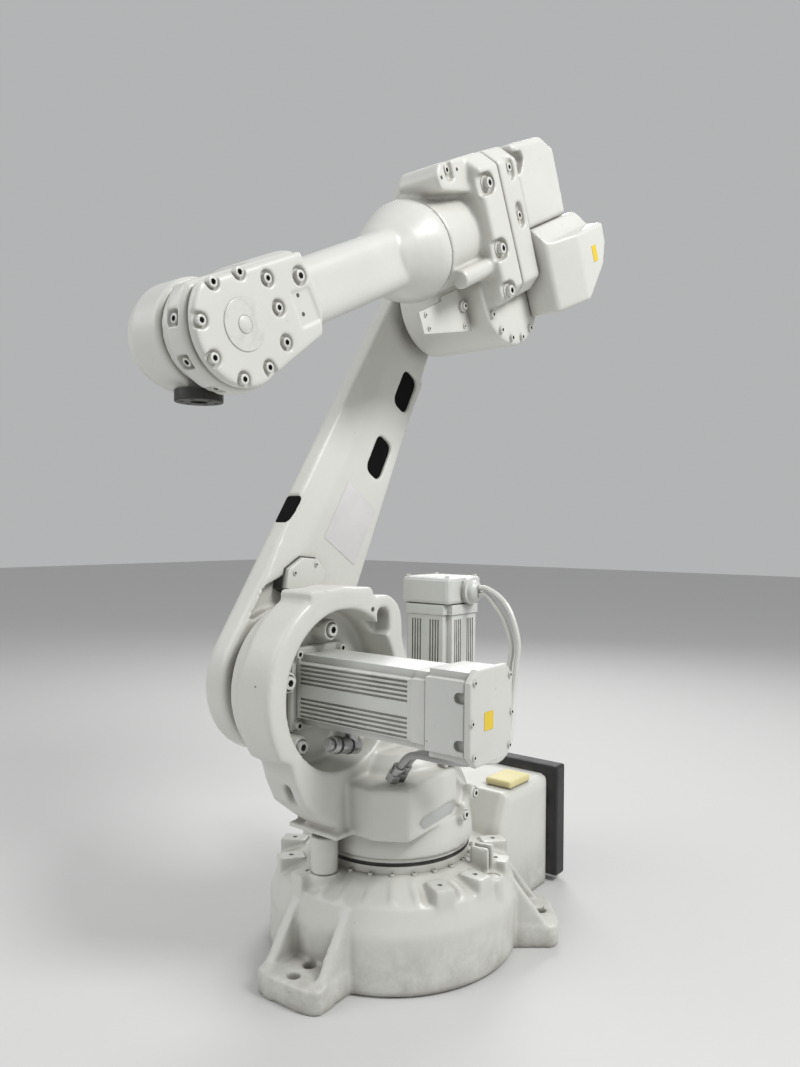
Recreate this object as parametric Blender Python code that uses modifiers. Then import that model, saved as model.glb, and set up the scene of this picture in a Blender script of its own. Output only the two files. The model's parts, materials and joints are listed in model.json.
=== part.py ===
"""Six-axis industrial robot arm on a round cast base, posed with its tool flange pointing down.

Metres, +Z up, +X forwards, +Y to the robot's left. The origin is on the floor, on axis 1.
Each group of pieces is modelled in its own straight pose, under an empty on its joint's axis.
"""
import math

import bmesh
import bpy
from mathutils import Matrix, Vector

# Chain of axes
AXIS_2_AHEAD = 0.175          # axis 2 in front of axis 1
AXIS_2_HEIGHT = 0.495
LOWER_ARM_LENGTH = 0.900      # axis 2 to axis 3
ELBOW_OFFSET = 0.137          # axis 4 above axis 3
FOREARM_LENGTH = 0.770        # axis 3 to axis 5, along axis 4
FOREARM_Y = 0.020             # axes 4 and 6 beside axis 1
FLANGE_REACH = 0.098          # axis 5 to the tool flange's face

# Pose in the photograph, in degrees
LOWER_ARM_LEAN = -29.0        # turn about +Y, negative leans back
FOREARM_PITCH = 27.0          # forearm below level
TOOL_PITCH = 90.0             # flange straight down

GAP = 0.0003                  # between pieces that touch
RUNNING_GAP = 0.0060          # between pieces that turn past each other

# Base
BASE_RADIUS = 0.235
BASE_WALL_HEIGHT = 0.098
SHOULDER_RADIUS = 0.222       # cone between the wall and the shoulder
BASE_TOP_RADIUS = 0.158
BASE_TOP_HEIGHT = 0.168
SHOULDER_HEIGHT = BASE_TOP_HEIGHT - 0.023
LUG_REACH = 0.312
LUG_WIDTH = 0.138
LUG_THICKNESS = 0.040
LUG_HOLE_RADIUS = 0.011
LUG_HOLE_INSET = 0.027        # hole behind the lug's end
LUG_HOLE_STEP = 0.040         # second hole of the front lug, nearer the middle
FRONT_LUG_ANGLE = 3.5
REAR_LUG_ANGLE = 129.5
PAD_CIRCLE = 0.198            # drilled pads on the shoulder
PAD_WIDTH = 0.036
PAD_LENGTH = 0.050
PAD_ANGLES = (-62.0, -36.0, -12.0, 62.0, 85.0, 111.0, 139.0, -88.0, -114.0, -139.0)
REAR_BOX_REACH = 0.395
REAR_BOX_WIDTH = 0.250
REAR_BOX_HEIGHT = 0.235
REAR_BOX_TOP = 0.180          # length of the box's level top
PANEL_THICKNESS = 0.038
PANEL_RISE = 0.020            # panel stands above the box
PANEL_OVERHANG = 0.018        # and past its sides
STOP_RADIUS = 0.024
STOP_CIRCLE = 0.180
STOP_ANGLE = -4.5
STOP_HEIGHT = 0.064           # above its seat

# Turret
SEAL_RADIUS = 0.144
SEAL_HEIGHT = 0.026
BELL_RADIUS = 0.150
BELL_TOP = BASE_TOP_HEIGHT + 0.202
FRAME_BOTTOM = BASE_TOP_HEIGHT + 0.072
FRAME_NEAR_Y = 0.030
FRAME_FAR_Y = -0.105
RING_RADIUS = 0.180
FAR_RING_RADIUS = 0.148
RING_BORE = 0.140
RING_DEPTH = 0.080
GEARBOX_2_RADIUS = 0.118
BLOCK_NEAR_Y = 0.142          # faceted block beside the bell
BLOCK_TOP = FRAME_BOTTOM + 0.098
BLOCK_TILT = 4.0              # degrees, about this place on its underside
BLOCK_PIVOT_X = 0.060
MOTOR_1_X = -0.152
MOTOR_WIDTH = 0.112
MOTOR_1_SEAT = 0.395
MOTOR_1_BODY = 0.215
MOTOR_1_CAP = 0.055
MOTOR_2_HEIGHT = 0.138
MOTOR_2_BODY = 0.245
MOTOR_2_CAP = 0.105
END_COVER_THICKNESS = 0.012
FLANGE_PLATE = 0.014
CABLE_RADIUS = 0.0052

# Lower arm
ARM_NEAR_Y = -0.135
ARM_THICKNESS = 0.056
ARM_HUB_RADIUS = 0.134
ARM_TOP_RADIUS = 0.074
WINDOW_DEPTH = 0.012

# Arm house, measured from axis 3: s ahead along the forearm, t up
HOUSE_BACK = 0.021
HOUSE_FRONT = 0.101
HOUSE_NEAR_Y = 0.140
HOUSE_FAR_Y = -0.115
HOUSE_TOP = 0.272
HOUSE_BOTTOM = -0.015
ADAPTER_THICKNESS = 0.075
REAR_COVER_LENGTH = 0.185
REAR_COVER_BOTTOM = 0.100
SIDE_COVER_Y = 0.200
SIDE_COVER_LENGTH = 0.218
HUB_3_RADIUS = 0.118
HUB_3_NEAR_Y = 0.095
NECK_RADIUS = 0.095
NECK_SEAM = 0.210
GEARBOX_3_RADIUS = 0.080
BRACKET_Y = 0.046             # cable bracket under the neck
BRACKET_THICKNESS = 0.006

# Forearm and wrist
TUBE_HALF = 0.054             # rounded square tube
TUBE_CORNER = 0.034
FLARE_LENGTH = 0.105
WRIST_RADIUS = 0.092
WRIST_NECK = 0.172            # wrist housing's length behind axis 5
WRIST_NECK_HALF = 0.076
WRIST_NEAR_Y = 0.100
WRIST_SEAM_Y = 0.032
WRIST_BAND_RADIUS = 0.075     # where the tool flange passes
WRIST_COVER = 0.018
TILT_FAR_Y = -0.062
TILT_RADIUS = 0.081
NOSE_RADIUS = 0.030
TOOL_FLANGE_RADIUS = 0.035
TOOL_FLANGE_THICKNESS = 0.016

COLLECTION = None
CUTTERS = None
MATERIALS = {}


# Scene helpers

def clear_scene():
    """Remove what is open, and make the two collections."""
    global COLLECTION, CUTTERS
    for obj in list(bpy.data.objects):
        bpy.data.objects.remove(obj, do_unlink=True)
    COLLECTION = bpy.data.collections.new("industrial_robot_arm")
    CUTTERS = bpy.data.collections.new("cutters")
    for collection in (COLLECTION, CUTTERS):
        bpy.context.scene.collection.children.link(collection)


def make_material(name, colour, roughness, metallic=0.0):
    material = bpy.data.materials.new(name)
    material.use_nodes = True
    shader = material.node_tree.nodes["Principled BSDF"]
    shader.inputs["Base Color"].default_value = (*colour, 1.0)
    shader.inputs["Roughness"].default_value = roughness
    shader.inputs["Metallic"].default_value = metallic
    MATERIALS[name] = material


def make_materials():
    make_material("white_paint", (0.78, 0.79, 0.77), 0.38)
    make_material("black_plastic", (0.02, 0.02, 0.022), 0.50)
    make_material("black_steel", (0.05, 0.05, 0.055), 0.40, 0.7)
    make_material("bare_steel", (0.55, 0.55, 0.56), 0.32, 1.0)
    make_material("yellow_plastic", (0.88, 0.80, 0.42), 0.55)
    make_material("cable_jacket", (0.80, 0.80, 0.78), 0.50)


def joint_frame(name, location, pitch, parent=None):
    """Empty on a joint's axis, turned about +Y."""
    frame = bpy.data.objects.new(name, None)
    frame.empty_display_size = 0.1
    frame.location = location
    frame.rotation_euler = (0, math.radians(pitch), 0)
    frame.parent = parent
    COLLECTION.objects.link(frame)
    return frame


def place(name, mesh, material, parent):
    """Sub-part from a mesh given in its parent's coordinates."""
    obj = bpy.data.objects.new(name, mesh)
    obj.parent = parent
    mesh.name = name
    mesh.materials.clear()
    mesh.materials.append(MATERIALS[material])
    COLLECTION.objects.link(obj)
    return obj


def cutter(mesh, parent):
    obj = bpy.data.objects.new("cutter", mesh)
    obj.parent = parent
    obj.hide_render = True
    obj.display_type = "WIRE"
    CUTTERS.objects.link(obj)
    return obj


def combine(obj, mesh, operation="UNION"):
    """Boolean with the EXACT solver against a helper solid in the same frame."""
    modifier = obj.modifiers.new(operation.lower(), "BOOLEAN")
    modifier.operation = operation
    modifier.solver = "EXACT"
    modifier.object = cutter(mesh, obj.parent)
    return obj


def cut(obj, mesh):
    return combine(obj, mesh, "DIFFERENCE")


def shade(obj, angle=35.0):
    obj.data.shade_smooth()
    obj.data.set_sharp_from_angle(angle=math.radians(angle))
    return obj


# Mesh makers, all in the parent's coordinates

def new_mesh(bm):
    bmesh.ops.recalc_face_normals(bm, faces=bm.faces)
    mesh = bpy.data.meshes.new("mesh")
    bm.to_mesh(mesh)
    bm.free()
    return mesh


def box(low, high, width=0.0, segments=2):
    """Box between two corners, with its edges rounded."""
    bm = bmesh.new()
    bmesh.ops.create_cube(bm, size=1.0)
    low, high = Vector(low), Vector(high)
    bmesh.ops.scale(bm, vec=high - low, verts=bm.verts)
    bmesh.ops.translate(bm, vec=(low + high) / 2, verts=bm.verts)
    if width:
        bmesh.ops.bevel(bm, geom=bm.edges[:], offset=width, segments=segments,
                        profile=0.5, affect="EDGES")
    return new_mesh(bm)


AXIS_TURNS = {
    "X": Matrix.Rotation(math.radians(90), 4, "Y"),
    "Y": Matrix.Rotation(math.radians(-90), 4, "X"),
    "Z": Matrix.Identity(4),
}


def cylinder(axis, start, end, centre, radius, end_radius=None, steps=48, width=0.0):
    """Cylinder or cone along an axis from start to end, centred on the other two coordinates."""
    bm = bmesh.new()
    end_radius = radius if end_radius is None else end_radius
    bmesh.ops.create_cone(bm, cap_ends=True, segments=steps, radius1=radius,
                          radius2=end_radius, depth=end - start)
    if width:
        rims = [edge for edge in bm.edges if abs(edge.verts[0].co.z - edge.verts[1].co.z) < 1e-6]
        bmesh.ops.bevel(bm, geom=rims, offset=width, segments=2, profile=0.5, affect="EDGES")
    bmesh.ops.translate(bm, vec=(0, 0, (start + end) / 2), verts=bm.verts)
    bmesh.ops.transform(bm, matrix=AXIS_TURNS[axis], verts=bm.verts)
    first, second = centre
    shift = {"X": (0, first, second), "Y": (first, 0, second), "Z": (first, second, 0)}[axis]
    bmesh.ops.translate(bm, vec=shift, verts=bm.verts)
    return new_mesh(bm)


def turned(profile, axis="Z", centre=(0.0, 0.0), steps=64):
    """Solid of revolution. The profile is (radius, height) pairs, top to bottom."""
    bm = bmesh.new()
    verts = [bm.verts.new((radius, 0, height)) for radius, height in profile]
    for one, two in zip(verts, verts[1:]):
        bm.edges.new((one, two))
    mesh = bpy.data.meshes.new("profile")
    bm.to_mesh(mesh)
    bm.free()
    obj = bpy.data.objects.new("profile", mesh)
    bpy.context.scene.collection.objects.link(obj)
    screw = obj.modifiers.new("screw", "SCREW")
    screw.steps = screw.render_steps = steps
    screw.use_merge_vertices = True
    screw.merge_threshold = 0.0001
    bpy.context.view_layer.update()
    evaluated = obj.evaluated_get(bpy.context.evaluated_depsgraph_get())
    result = bmesh.new()
    result.from_mesh(evaluated.to_mesh())
    bmesh.ops.remove_doubles(result, verts=result.verts, dist=0.00001)
    bpy.data.objects.remove(obj, do_unlink=True)
    bmesh.ops.transform(result, matrix=AXIS_TURNS[axis], verts=result.verts)
    first, second = centre
    shift = {"X": (0, first, second), "Y": (first, 0, second), "Z": (first, second, 0)}[axis]
    bmesh.ops.translate(result, vec=shift, verts=result.verts)
    return new_mesh(result)


def slab(outline, low, high, axis="Y", width=0.0, segments=2):
    """Flat outline given thickness from low to high along an axis.

    The outline's pairs are (x, z) for axis Y, (x, y) for axis Z and (y, z) for axis X.
    """
    curve = bpy.data.curves.new("outline", "CURVE")
    curve.dimensions = "2D"
    curve.fill_mode = "BOTH"
    curve.extrude = (high - low) / 2
    spline = curve.splines.new("POLY")
    spline.points.add(len(outline) - 1)
    for point, (first, second) in zip(spline.points, outline):
        point.co = (first, second, 0, 1)
    spline.use_cyclic_u = True
    obj = bpy.data.objects.new("outline", curve)
    bpy.context.scene.collection.objects.link(obj)
    bpy.context.view_layer.update()
    depsgraph = bpy.context.evaluated_depsgraph_get()
    mesh = bpy.data.meshes.new_from_object(obj.evaluated_get(depsgraph))
    bpy.data.objects.remove(obj, do_unlink=True)
    bm = bmesh.new()
    bm.from_mesh(mesh)
    bmesh.ops.remove_doubles(bm, verts=bm.verts, dist=0.00001)
    middle = (low + high) / 2
    stand = {
        "Y": Matrix.Translation((0, middle, 0)) @ Matrix.Rotation(math.radians(90), 4, "X"),
        "Z": Matrix.Translation((0, 0, middle)),
        "X": Matrix.Translation((middle, 0, 0)) @ Matrix(((0, 0, 1, 0), (1, 0, 0, 0),
                                                           (0, 1, 0, 0), (0, 0, 0, 1))),
    }[axis]
    bmesh.ops.transform(bm, matrix=stand, verts=bm.verts)
    if width:
        bmesh.ops.dissolve_limit(bm, angle_limit=math.radians(0.5), verts=bm.verts, edges=bm.edges)
        normal = {"Y": Vector((0, 1, 0)), "Z": Vector((0, 0, 1)), "X": Vector((1, 0, 0))}[axis]
        rims = [edge for edge in bm.edges
                if sum(abs(face.normal.dot(normal)) > 0.9 for face in edge.link_faces) == 1]
        bmesh.ops.bevel(bm, geom=rims, offset=width, segments=segments, profile=0.5, affect="EDGES")
    return new_mesh(bm)


def turn(mesh, angle, axis="Z", about=(0, 0, 0)):
    """Turn a mesh by an angle in degrees about a line through a point."""
    about = Vector(about)
    mesh.transform(Matrix.Translation(about) @ Matrix.Rotation(math.radians(angle), 4, axis)
                   @ Matrix.Translation(-about))
    return mesh


def arc(centre, radius, start, end, steps):
    """Points on a circle between two angles in degrees."""
    return [(centre[0] + radius * math.cos(math.radians(start + (end - start) * i / steps)),
             centre[1] + radius * math.sin(math.radians(start + (end - start) * i / steps)))
            for i in range(steps + 1)]


def rounded(points, radius, steps=4):
    """Outline with each corner rounded by the same radius, which shorter sides limit."""
    result = []
    count = len(points)
    for i, point in enumerate(points):
        here = Vector(point)
        before = Vector(points[i - 1]) - here
        after = Vector(points[(i + 1) % count]) - here
        reach = min(radius, before.length * 0.45, after.length * 0.45)
        start, end = here + before.normalized() * reach, here + after.normalized() * reach
        for k in range(steps + 1):
            f = k / steps
            result.append(tuple(start * (1 - f) ** 2 + here * 2 * f * (1 - f) + end * f ** 2))
    return result


def link_outline(length, low_radius, high_radius, steps=24):
    """Two circles on the vertical line x = 0 joined by their outer tangents."""
    slant = math.degrees(math.asin((low_radius - high_radius) / length))
    return (arc((0, 0), low_radius, 180 - slant, 360 + slant, steps)
            + arc((0, length), high_radius, slant, 180 - slant, steps))


def tube(points, radius, steps=4):
    """Round cable through the points on one smooth curve, closed at both ends."""
    knots = [Vector(point) for point in points]
    knots = [knots[0] * 2 - knots[1]] + knots + [knots[-1] * 2 - knots[-2]]
    path = []
    for a, b, c, d in zip(knots, knots[1:], knots[2:], knots[3:]):
        for k in range(steps):
            f = k / steps
            path.append((b * 2 + (c - a) * f + (a * 2 - b * 5 + c * 4 - d) * f ** 2
                         + (b * 3 - a - c * 3 + d) * f ** 3) / 2)
    path.append(knots[-2])
    curve = bpy.data.curves.new("cable", "CURVE")
    curve.dimensions = "3D"
    curve.bevel_depth = radius
    curve.bevel_resolution = 2
    curve.use_fill_caps = True
    spline = curve.splines.new("POLY")
    spline.points.add(len(path) - 1)
    for point, spot in zip(spline.points, path):
        point.co = (*spot, 1)
    obj = bpy.data.objects.new("cable", curve)
    bpy.context.scene.collection.objects.link(obj)
    bpy.context.view_layer.update()
    mesh = bpy.data.meshes.new_from_object(obj.evaluated_get(bpy.context.evaluated_depsgraph_get()))
    bpy.data.objects.remove(obj, do_unlink=True)
    bm = bmesh.new()
    bm.from_mesh(mesh)
    bmesh.ops.remove_doubles(bm, verts=bm.verts, dist=0.00001)
    return new_mesh(bm)


# Base

def lug_outline(reach, width):
    corner = 0.025
    half = width / 2
    return rounded([(0.10, -half), (reach - 0.01, -half), (reach, -half + corner),
                    (reach, half - corner), (reach - 0.01, half), (0.10, half)], 0.012)


def lug_rib(side):
    """Web from a lug's side up to the base's shoulder."""
    outer = side * (LUG_WIDTH / 2 - 0.002)
    inner = side * (LUG_WIDTH / 2 - 0.002 - 0.022)
    outline = [(0.12, 0.02), (LUG_REACH - 0.02, LUG_THICKNESS - 0.005),
               (LUG_REACH - 0.035, LUG_THICKNESS + 0.012),
               (SHOULDER_RADIUS - 0.010, SHOULDER_HEIGHT - 0.004),
               (0.12, BASE_TOP_HEIGHT - 0.012)]
    return slab(outline, min(outer, inner), max(outer, inner))


def make_base():
    base = place("base_casting", turned([
        (0, BASE_TOP_HEIGHT), (BASE_TOP_RADIUS - 0.006, BASE_TOP_HEIGHT),
        (BASE_TOP_RADIUS, BASE_TOP_HEIGHT - 0.004), (SHOULDER_RADIUS - 0.010, SHOULDER_HEIGHT),
        (SHOULDER_RADIUS - 0.002, SHOULDER_HEIGHT - 0.005),
        (BASE_RADIUS - 0.001, BASE_WALL_HEIGHT + 0.004), (BASE_RADIUS, BASE_WALL_HEIGHT - 0.004),
        (BASE_RADIUS, 0.006), (BASE_RADIUS - 0.012, -0.006), (0, -0.006)]), "white_paint", None)
    combine(base, slab([(-REAR_BOX_REACH, -0.03), (-0.10, -0.03), (-0.10, SHOULDER_HEIGHT),
                        (-0.178, SHOULDER_HEIGHT + 0.005),
                        (-REAR_BOX_REACH + REAR_BOX_TOP, REAR_BOX_HEIGHT),
                        (-REAR_BOX_REACH, REAR_BOX_HEIGHT)],
                       -REAR_BOX_WIDTH / 2, REAR_BOX_WIDTH / 2, width=0.018))
    lug_angles = (FRONT_LUG_ANGLE, REAR_LUG_ANGLE, -REAR_LUG_ANGLE)
    for angle in lug_angles:
        combine(base, turn(slab(lug_outline(LUG_REACH, LUG_WIDTH), -0.012, LUG_THICKNESS, "Z"),
                           angle))
        for side in (-1, 1):
            combine(base, turn(lug_rib(side), angle))
    for angle in PAD_ANGLES:
        combine(base, turn(box((PAD_CIRCLE - PAD_LENGTH / 2, -PAD_WIDTH / 2, SHOULDER_HEIGHT - 0.04),
                               (PAD_CIRCLE + PAD_LENGTH / 2, PAD_WIDTH / 2, BASE_TOP_HEIGHT - 0.001)),
                           angle))
    combine(base, turn(cylinder("Z", SHOULDER_HEIGHT - 0.04, BASE_TOP_HEIGHT + 0.002,
                                (STOP_CIRCLE, 0), STOP_RADIUS + 0.004, steps=32), STOP_ANGLE))
    cut(base, box((-1, -1, -1), (1, 1, 0)))
    holes = [(LUG_REACH - LUG_HOLE_INSET, angle) for angle in lug_angles]
    holes.append((LUG_REACH - LUG_HOLE_INSET - LUG_HOLE_STEP, FRONT_LUG_ANGLE))
    for radius, angle in holes:
        cut(base, turn(cylinder("Z", -0.01, LUG_THICKNESS + 0.03, (radius, 0), LUG_HOLE_RADIUS,
                                steps=20), angle))
    shade(base)

    seat = BASE_TOP_HEIGHT + 0.002 + GAP
    post = place("stop_post", turn(cylinder("Z", seat, seat + STOP_HEIGHT, (STOP_CIRCLE, 0),
                                            STOP_RADIUS, steps=32, width=0.003), STOP_ANGLE),
                 "white_paint", None)
    shade(post)

    panel_side = REAR_BOX_WIDTH / 2 + PANEL_OVERHANG
    panel = place("connector_panel", box(
        (-REAR_BOX_REACH - GAP - PANEL_THICKNESS, -panel_side, 0.012),
        (-REAR_BOX_REACH - GAP, panel_side, REAR_BOX_HEIGHT + PANEL_RISE),
        0.005), "black_plastic", None)
    shade(panel)

    cover = place("terminal_cover", box((-0.328, 0.052, REAR_BOX_HEIGHT + GAP),
                                        (-0.244, 0.114, REAR_BOX_HEIGHT + 0.016), 0.005),
                  "yellow_plastic", None)
    shade(cover)

    seal = place("turntable_ring", cylinder(
        "Z", BASE_TOP_HEIGHT + GAP, BASE_TOP_HEIGHT + SEAL_HEIGHT, (0, 0), SEAL_RADIUS, steps=64),
        "black_steel", None)
    shade(seal)


# Turret

def frame_layer(front, radius, start, far, near):
    """Layer of the upright frame, from its front foot round axis 2 to motor 1's seat."""
    outline = ([(-0.120, FRAME_BOTTOM)] + front
               + arc((AXIS_2_AHEAD, AXIS_2_HEIGHT), radius, start, 150, 40)
               + [(-0.060, MOTOR_1_SEAT), (-0.205, MOTOR_1_SEAT), (-0.205, 0.330)])
    return slab(outline, far, near, width=0.008)


def frame_near():
    """Layer with the ring round motor 2."""
    front = [(0.175, FRAME_BOTTOM + 0.002), (0.233, FRAME_BOTTOM + 0.041),
             (0.273, FRAME_BOTTOM + 0.074), (0.294, AXIS_2_HEIGHT - 0.139),
             (0.304, AXIS_2_HEIGHT - 0.108)]
    return frame_layer(front, RING_RADIUS, -32, -0.050, FRAME_NEAR_Y)


def frame_far():
    """Smaller layer that carries the lower arm's gearbox."""
    front = [(0.142, FRAME_BOTTOM), (0.179, FRAME_BOTTOM + 0.015), (0.222, FRAME_BOTTOM + 0.049),
             (0.244, AXIS_2_HEIGHT - 0.161), (0.249, AXIS_2_HEIGHT - 0.132)]
    return frame_layer(front, FAR_RING_RADIUS, -48, FRAME_FAR_Y, -0.030)


def top_pad():
    """Flat pad on top of the ring, nearer the motor."""
    top = AXIS_2_HEIGHT + RING_RADIUS - 0.004
    outline = [(0.100, top - 0.060), (0.262, top - 0.060), (0.262, top - 0.003), (0.258, top),
               (0.108, top), (0.100, top - 0.006)]
    return slab(outline, -0.045, FRAME_NEAR_Y - 0.001)


def lifting_eye():
    plate = slab(rounded([(0.010, 0.530), (0.130, 0.560), (0.138, 0.650), (0.050, 0.655),
                          (0.018, 0.625)], 0.025), 0.0, FRAME_NEAR_Y)
    return plate


def near_block():
    """Faceted block that stands out of the bell, clear above the stop post's circle."""
    outline = [(-0.030, -0.02), (-0.022, BLOCK_NEAR_Y - 0.014), (-0.010, BLOCK_NEAR_Y),
               (0.134, BLOCK_NEAR_Y), (0.165, 0.085), (0.165, -0.02)]
    block = slab(outline, FRAME_BOTTOM + 0.006, BLOCK_TOP, "Z", 0.006)
    return turn(block, BLOCK_TILT, "Y", (BLOCK_PIVOT_X, 0, FRAME_BOTTOM))


def block_top(x):
    """Height of the block's tilted top."""
    tilt = math.radians(BLOCK_TILT)
    return (FRAME_BOTTOM + (BLOCK_TOP - FRAME_BOTTOM) / math.cos(tilt)
            + (BLOCK_PIVOT_X - x) * math.tan(tilt))


def make_turret():
    bell_bottom = BASE_TOP_HEIGHT + SEAL_HEIGHT + GAP
    turret = place("turret_casting", turned([
        (0, BELL_TOP), (0.100, BELL_TOP), (0.115, BELL_TOP - 0.022),
        (0.139, BELL_TOP - 0.080),
        (BELL_RADIUS, bell_bottom + 0.020), (BELL_RADIUS, bell_bottom), (0, bell_bottom)]),
        "white_paint", None)
    combine(turret, frame_near())
    combine(turret, frame_far())
    combine(turret, box((-0.205, -0.066, 0.300), (-0.020, 0.066, MOTOR_1_SEAT), 0.010))
    combine(turret, near_block())
    combine(turret, top_pad())
    combine(turret, lifting_eye())
    cut(turret, slab(rounded([(0.052, 0.580), (0.084, 0.580), (0.090, 0.632), (0.056, 0.630)],
                             0.015), -0.01, FRAME_NEAR_Y + 0.01))
    cut(turret, cylinder("Y", FRAME_NEAR_Y - RING_DEPTH, FRAME_NEAR_Y + 0.02,
                         (AXIS_2_AHEAD, AXIS_2_HEIGHT), RING_BORE, steps=64))
    shade(turret)

    gearbox = place("axis_2_gearbox", cylinder(
        "Y", ARM_NEAR_Y + GAP, FRAME_FAR_Y - GAP, (AXIS_2_AHEAD, AXIS_2_HEIGHT),
        GEARBOX_2_RADIUS, steps=56, width=0.004), "bare_steel", None)
    shade(gearbox)


def make_motor_1():
    """Vertical servo motor that turns the turret."""
    half = MOTOR_WIDTH / 2
    seat = MOTOR_1_SEAT + GAP
    low, high = MOTOR_1_X - half, MOTOR_1_X + half
    flange = place("motor_1_flange", box((low - 0.004, -half - 0.004, seat),
                                         (high + 0.004, half + 0.004, seat + FLANGE_PLATE), 0.003),
                   "white_paint", None)
    shade(flange)
    bottom = seat + FLANGE_PLATE + GAP
    body = place("motor_1_body", box((low, -half, bottom), (high, half, bottom + MOTOR_1_BODY),
                                     0.010), "white_paint", None)
    pitch = 0.010
    for side in (-1, 1):
        for group in (-1, 1):
            for i in range(5):
                offset = group * (0.018 + 0.2 * pitch) + (i - 2) * pitch * 0.62
                cut(body, box((MOTOR_1_X + offset - 0.0016, side * half - 0.003, bottom + 0.02),
                              (MOTOR_1_X + offset + 0.0016, side * half + 0.003,
                               bottom + MOTOR_1_BODY - 0.03)))
                cut(body, box((MOTOR_1_X + side * half - 0.003, offset - 0.0016, bottom + 0.02),
                              (MOTOR_1_X + side * half + 0.003, offset + 0.0016,
                               bottom + MOTOR_1_BODY - 0.03)))
    shade(body)
    top = bottom + MOTOR_1_BODY + GAP
    cap = place("motor_1_cap", box((low - 0.003, -half - 0.003, top),
                                   (high + 0.003, half + 0.003, top + MOTOR_1_CAP), 0.008),
                "white_paint", None)
    shade(cap)
    plug = place("motor_1_connector", turned([
        (0, 0.026), (0.014, 0.026), (0.020, 0.020), (0.022, 0.012), (0.027, 0.010), (0.027, 0),
        (0, 0)], "Y", steps=32), "white_paint", None)
    plug_x, plug_z = MOTOR_1_X - 0.010, top + 0.026
    plug.location = (plug_x, half + 0.003 + GAP, plug_z)
    shade(plug)

    start = half + 0.003 + 0.026 + 3 * GAP
    spread = CABLE_RADIUS * 1.3
    runs = {
        "motor_1_power_cable": (spread, 0.012, [
            (-0.155, 0.140, 0.642), (-0.152, 0.166, 0.612), (-0.148, 0.185, 0.559),
            (-0.142, 0.184, 0.512), (-0.134, 0.184, 0.465), (-0.115, 0.192, 0.420),
            (-0.092, 0.199, 0.376), (-0.060, 0.192, 0.350), (-0.022, 0.164, 0.352)]),
        "motor_1_signal_cable": (-spread, -0.004, [
            (-0.155, 0.128, 0.626), (-0.152, 0.152, 0.597), (-0.148, 0.170, 0.551),
            (-0.142, 0.169, 0.510), (-0.135, 0.169, 0.467), (-0.118, 0.177, 0.424),
            (-0.097, 0.183, 0.388), (-0.072, 0.172, 0.368), (-0.040, 0.147, 0.370)])}
    for name, (rise, landing, route) in runs.items():
        end = block_top(landing - CABLE_RADIUS) + 3 * GAP
        points = ([(plug_x, start, plug_z + rise), (plug_x, start + 0.018, plug_z + rise)] + route
                  + [(landing, 0.130, end + 0.016), (landing, 0.128, end)])
        cable = place(name, tube(points, CABLE_RADIUS), "cable_jacket", None)
        shade(cable)


def make_motor_2():
    """Horizontal servo motor on axis 2, standing out of the ring."""
    x, z = AXIS_2_AHEAD, AXIS_2_HEIGHT
    half, tall = MOTOR_WIDTH / 2, MOTOR_2_HEIGHT / 2
    seat = FRAME_NEAR_Y - RING_DEPTH + GAP
    flange = place("motor_2_flange", box((x - half - 0.010, seat, z - tall - 0.004),
                                         (x + half + 0.010, seat + FLANGE_PLATE, z + tall + 0.004),
                                         0.004), "white_paint", None)
    shade(flange)
    start = seat + FLANGE_PLATE + GAP
    body = place("motor_2_body", box((x - half, start, z - tall + 0.008),
                                     (x + half, start + MOTOR_2_BODY, z + tall - 0.008), 0.010),
                 "white_paint", None)
    for side in (-1, 1):
        for group in (-1, 1):
            for i in range(5):
                height = z + group * 0.034 + (i - 2) * 0.0075
                cut(body, box((x + side * half - 0.003, start + 0.02, height - 0.002),
                              (x + side * half + 0.003, start + MOTOR_2_BODY - 0.03,
                               height + 0.002)))
    shade(body)
    cap_start = start + MOTOR_2_BODY + GAP
    cap = place("motor_2_cap", box((x - half - 0.002, cap_start, z - tall),
                                   (x + half + 0.002, cap_start + MOTOR_2_CAP, z + tall), 0.010),
                "white_paint", None)
    shade(cap)
    corner = 0.018
    w, h = half + 0.004, tall + 0.004
    outline = [(x - w, z - h + corner), (x - w + corner, z - h), (x + w - corner, z - h),
               (x + w, z - h + corner), (x + w, z + h - corner), (x + w - corner, z + h),
               (x - w + corner, z + h), (x - w, z + h - corner)]
    cover_start = cap_start + MOTOR_2_CAP + GAP
    cover = place("motor_2_end_cover", slab(outline, cover_start,
                                            cover_start + END_COVER_THICKNESS, width=0.003),
                  "white_paint", None)
    shade(cover)


# Lower arm, straight up from axis 2

def make_lower_arm(frame):
    far = ARM_NEAR_Y - ARM_THICKNESS
    arm = place("lower_arm_casting", slab(
        link_outline(LOWER_ARM_LENGTH, ARM_HUB_RADIUS, ARM_TOP_RADIUS), far, ARM_NEAR_Y,
        width=0.010), "white_paint", frame)
    windows = {"upper_cable_window": (-0.055, 0.690), "lower_cable_window": (-0.050, 0.515)}
    for name, (along, up) in windows.items():
        outline = rounded([(along - 0.028, up - 0.036), (along + 0.016, up - 0.036),
                           (along + 0.028, up + 0.036), (along - 0.016, up + 0.036)], 0.016)
        cut(arm, slab(outline, ARM_NEAR_Y - WINDOW_DEPTH, ARM_NEAR_Y + 0.01))
        plug = place(name, slab([(p[0] * 0.992 + along * 0.008, p[1] * 0.992 + up * 0.008)
                                 for p in outline], ARM_NEAR_Y - WINDOW_DEPTH + GAP,
                                ARM_NEAR_Y - 0.004), "black_plastic", frame)
        shade(plug)
    shade(arm)


# Arm house, measured from axis 3

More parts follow.
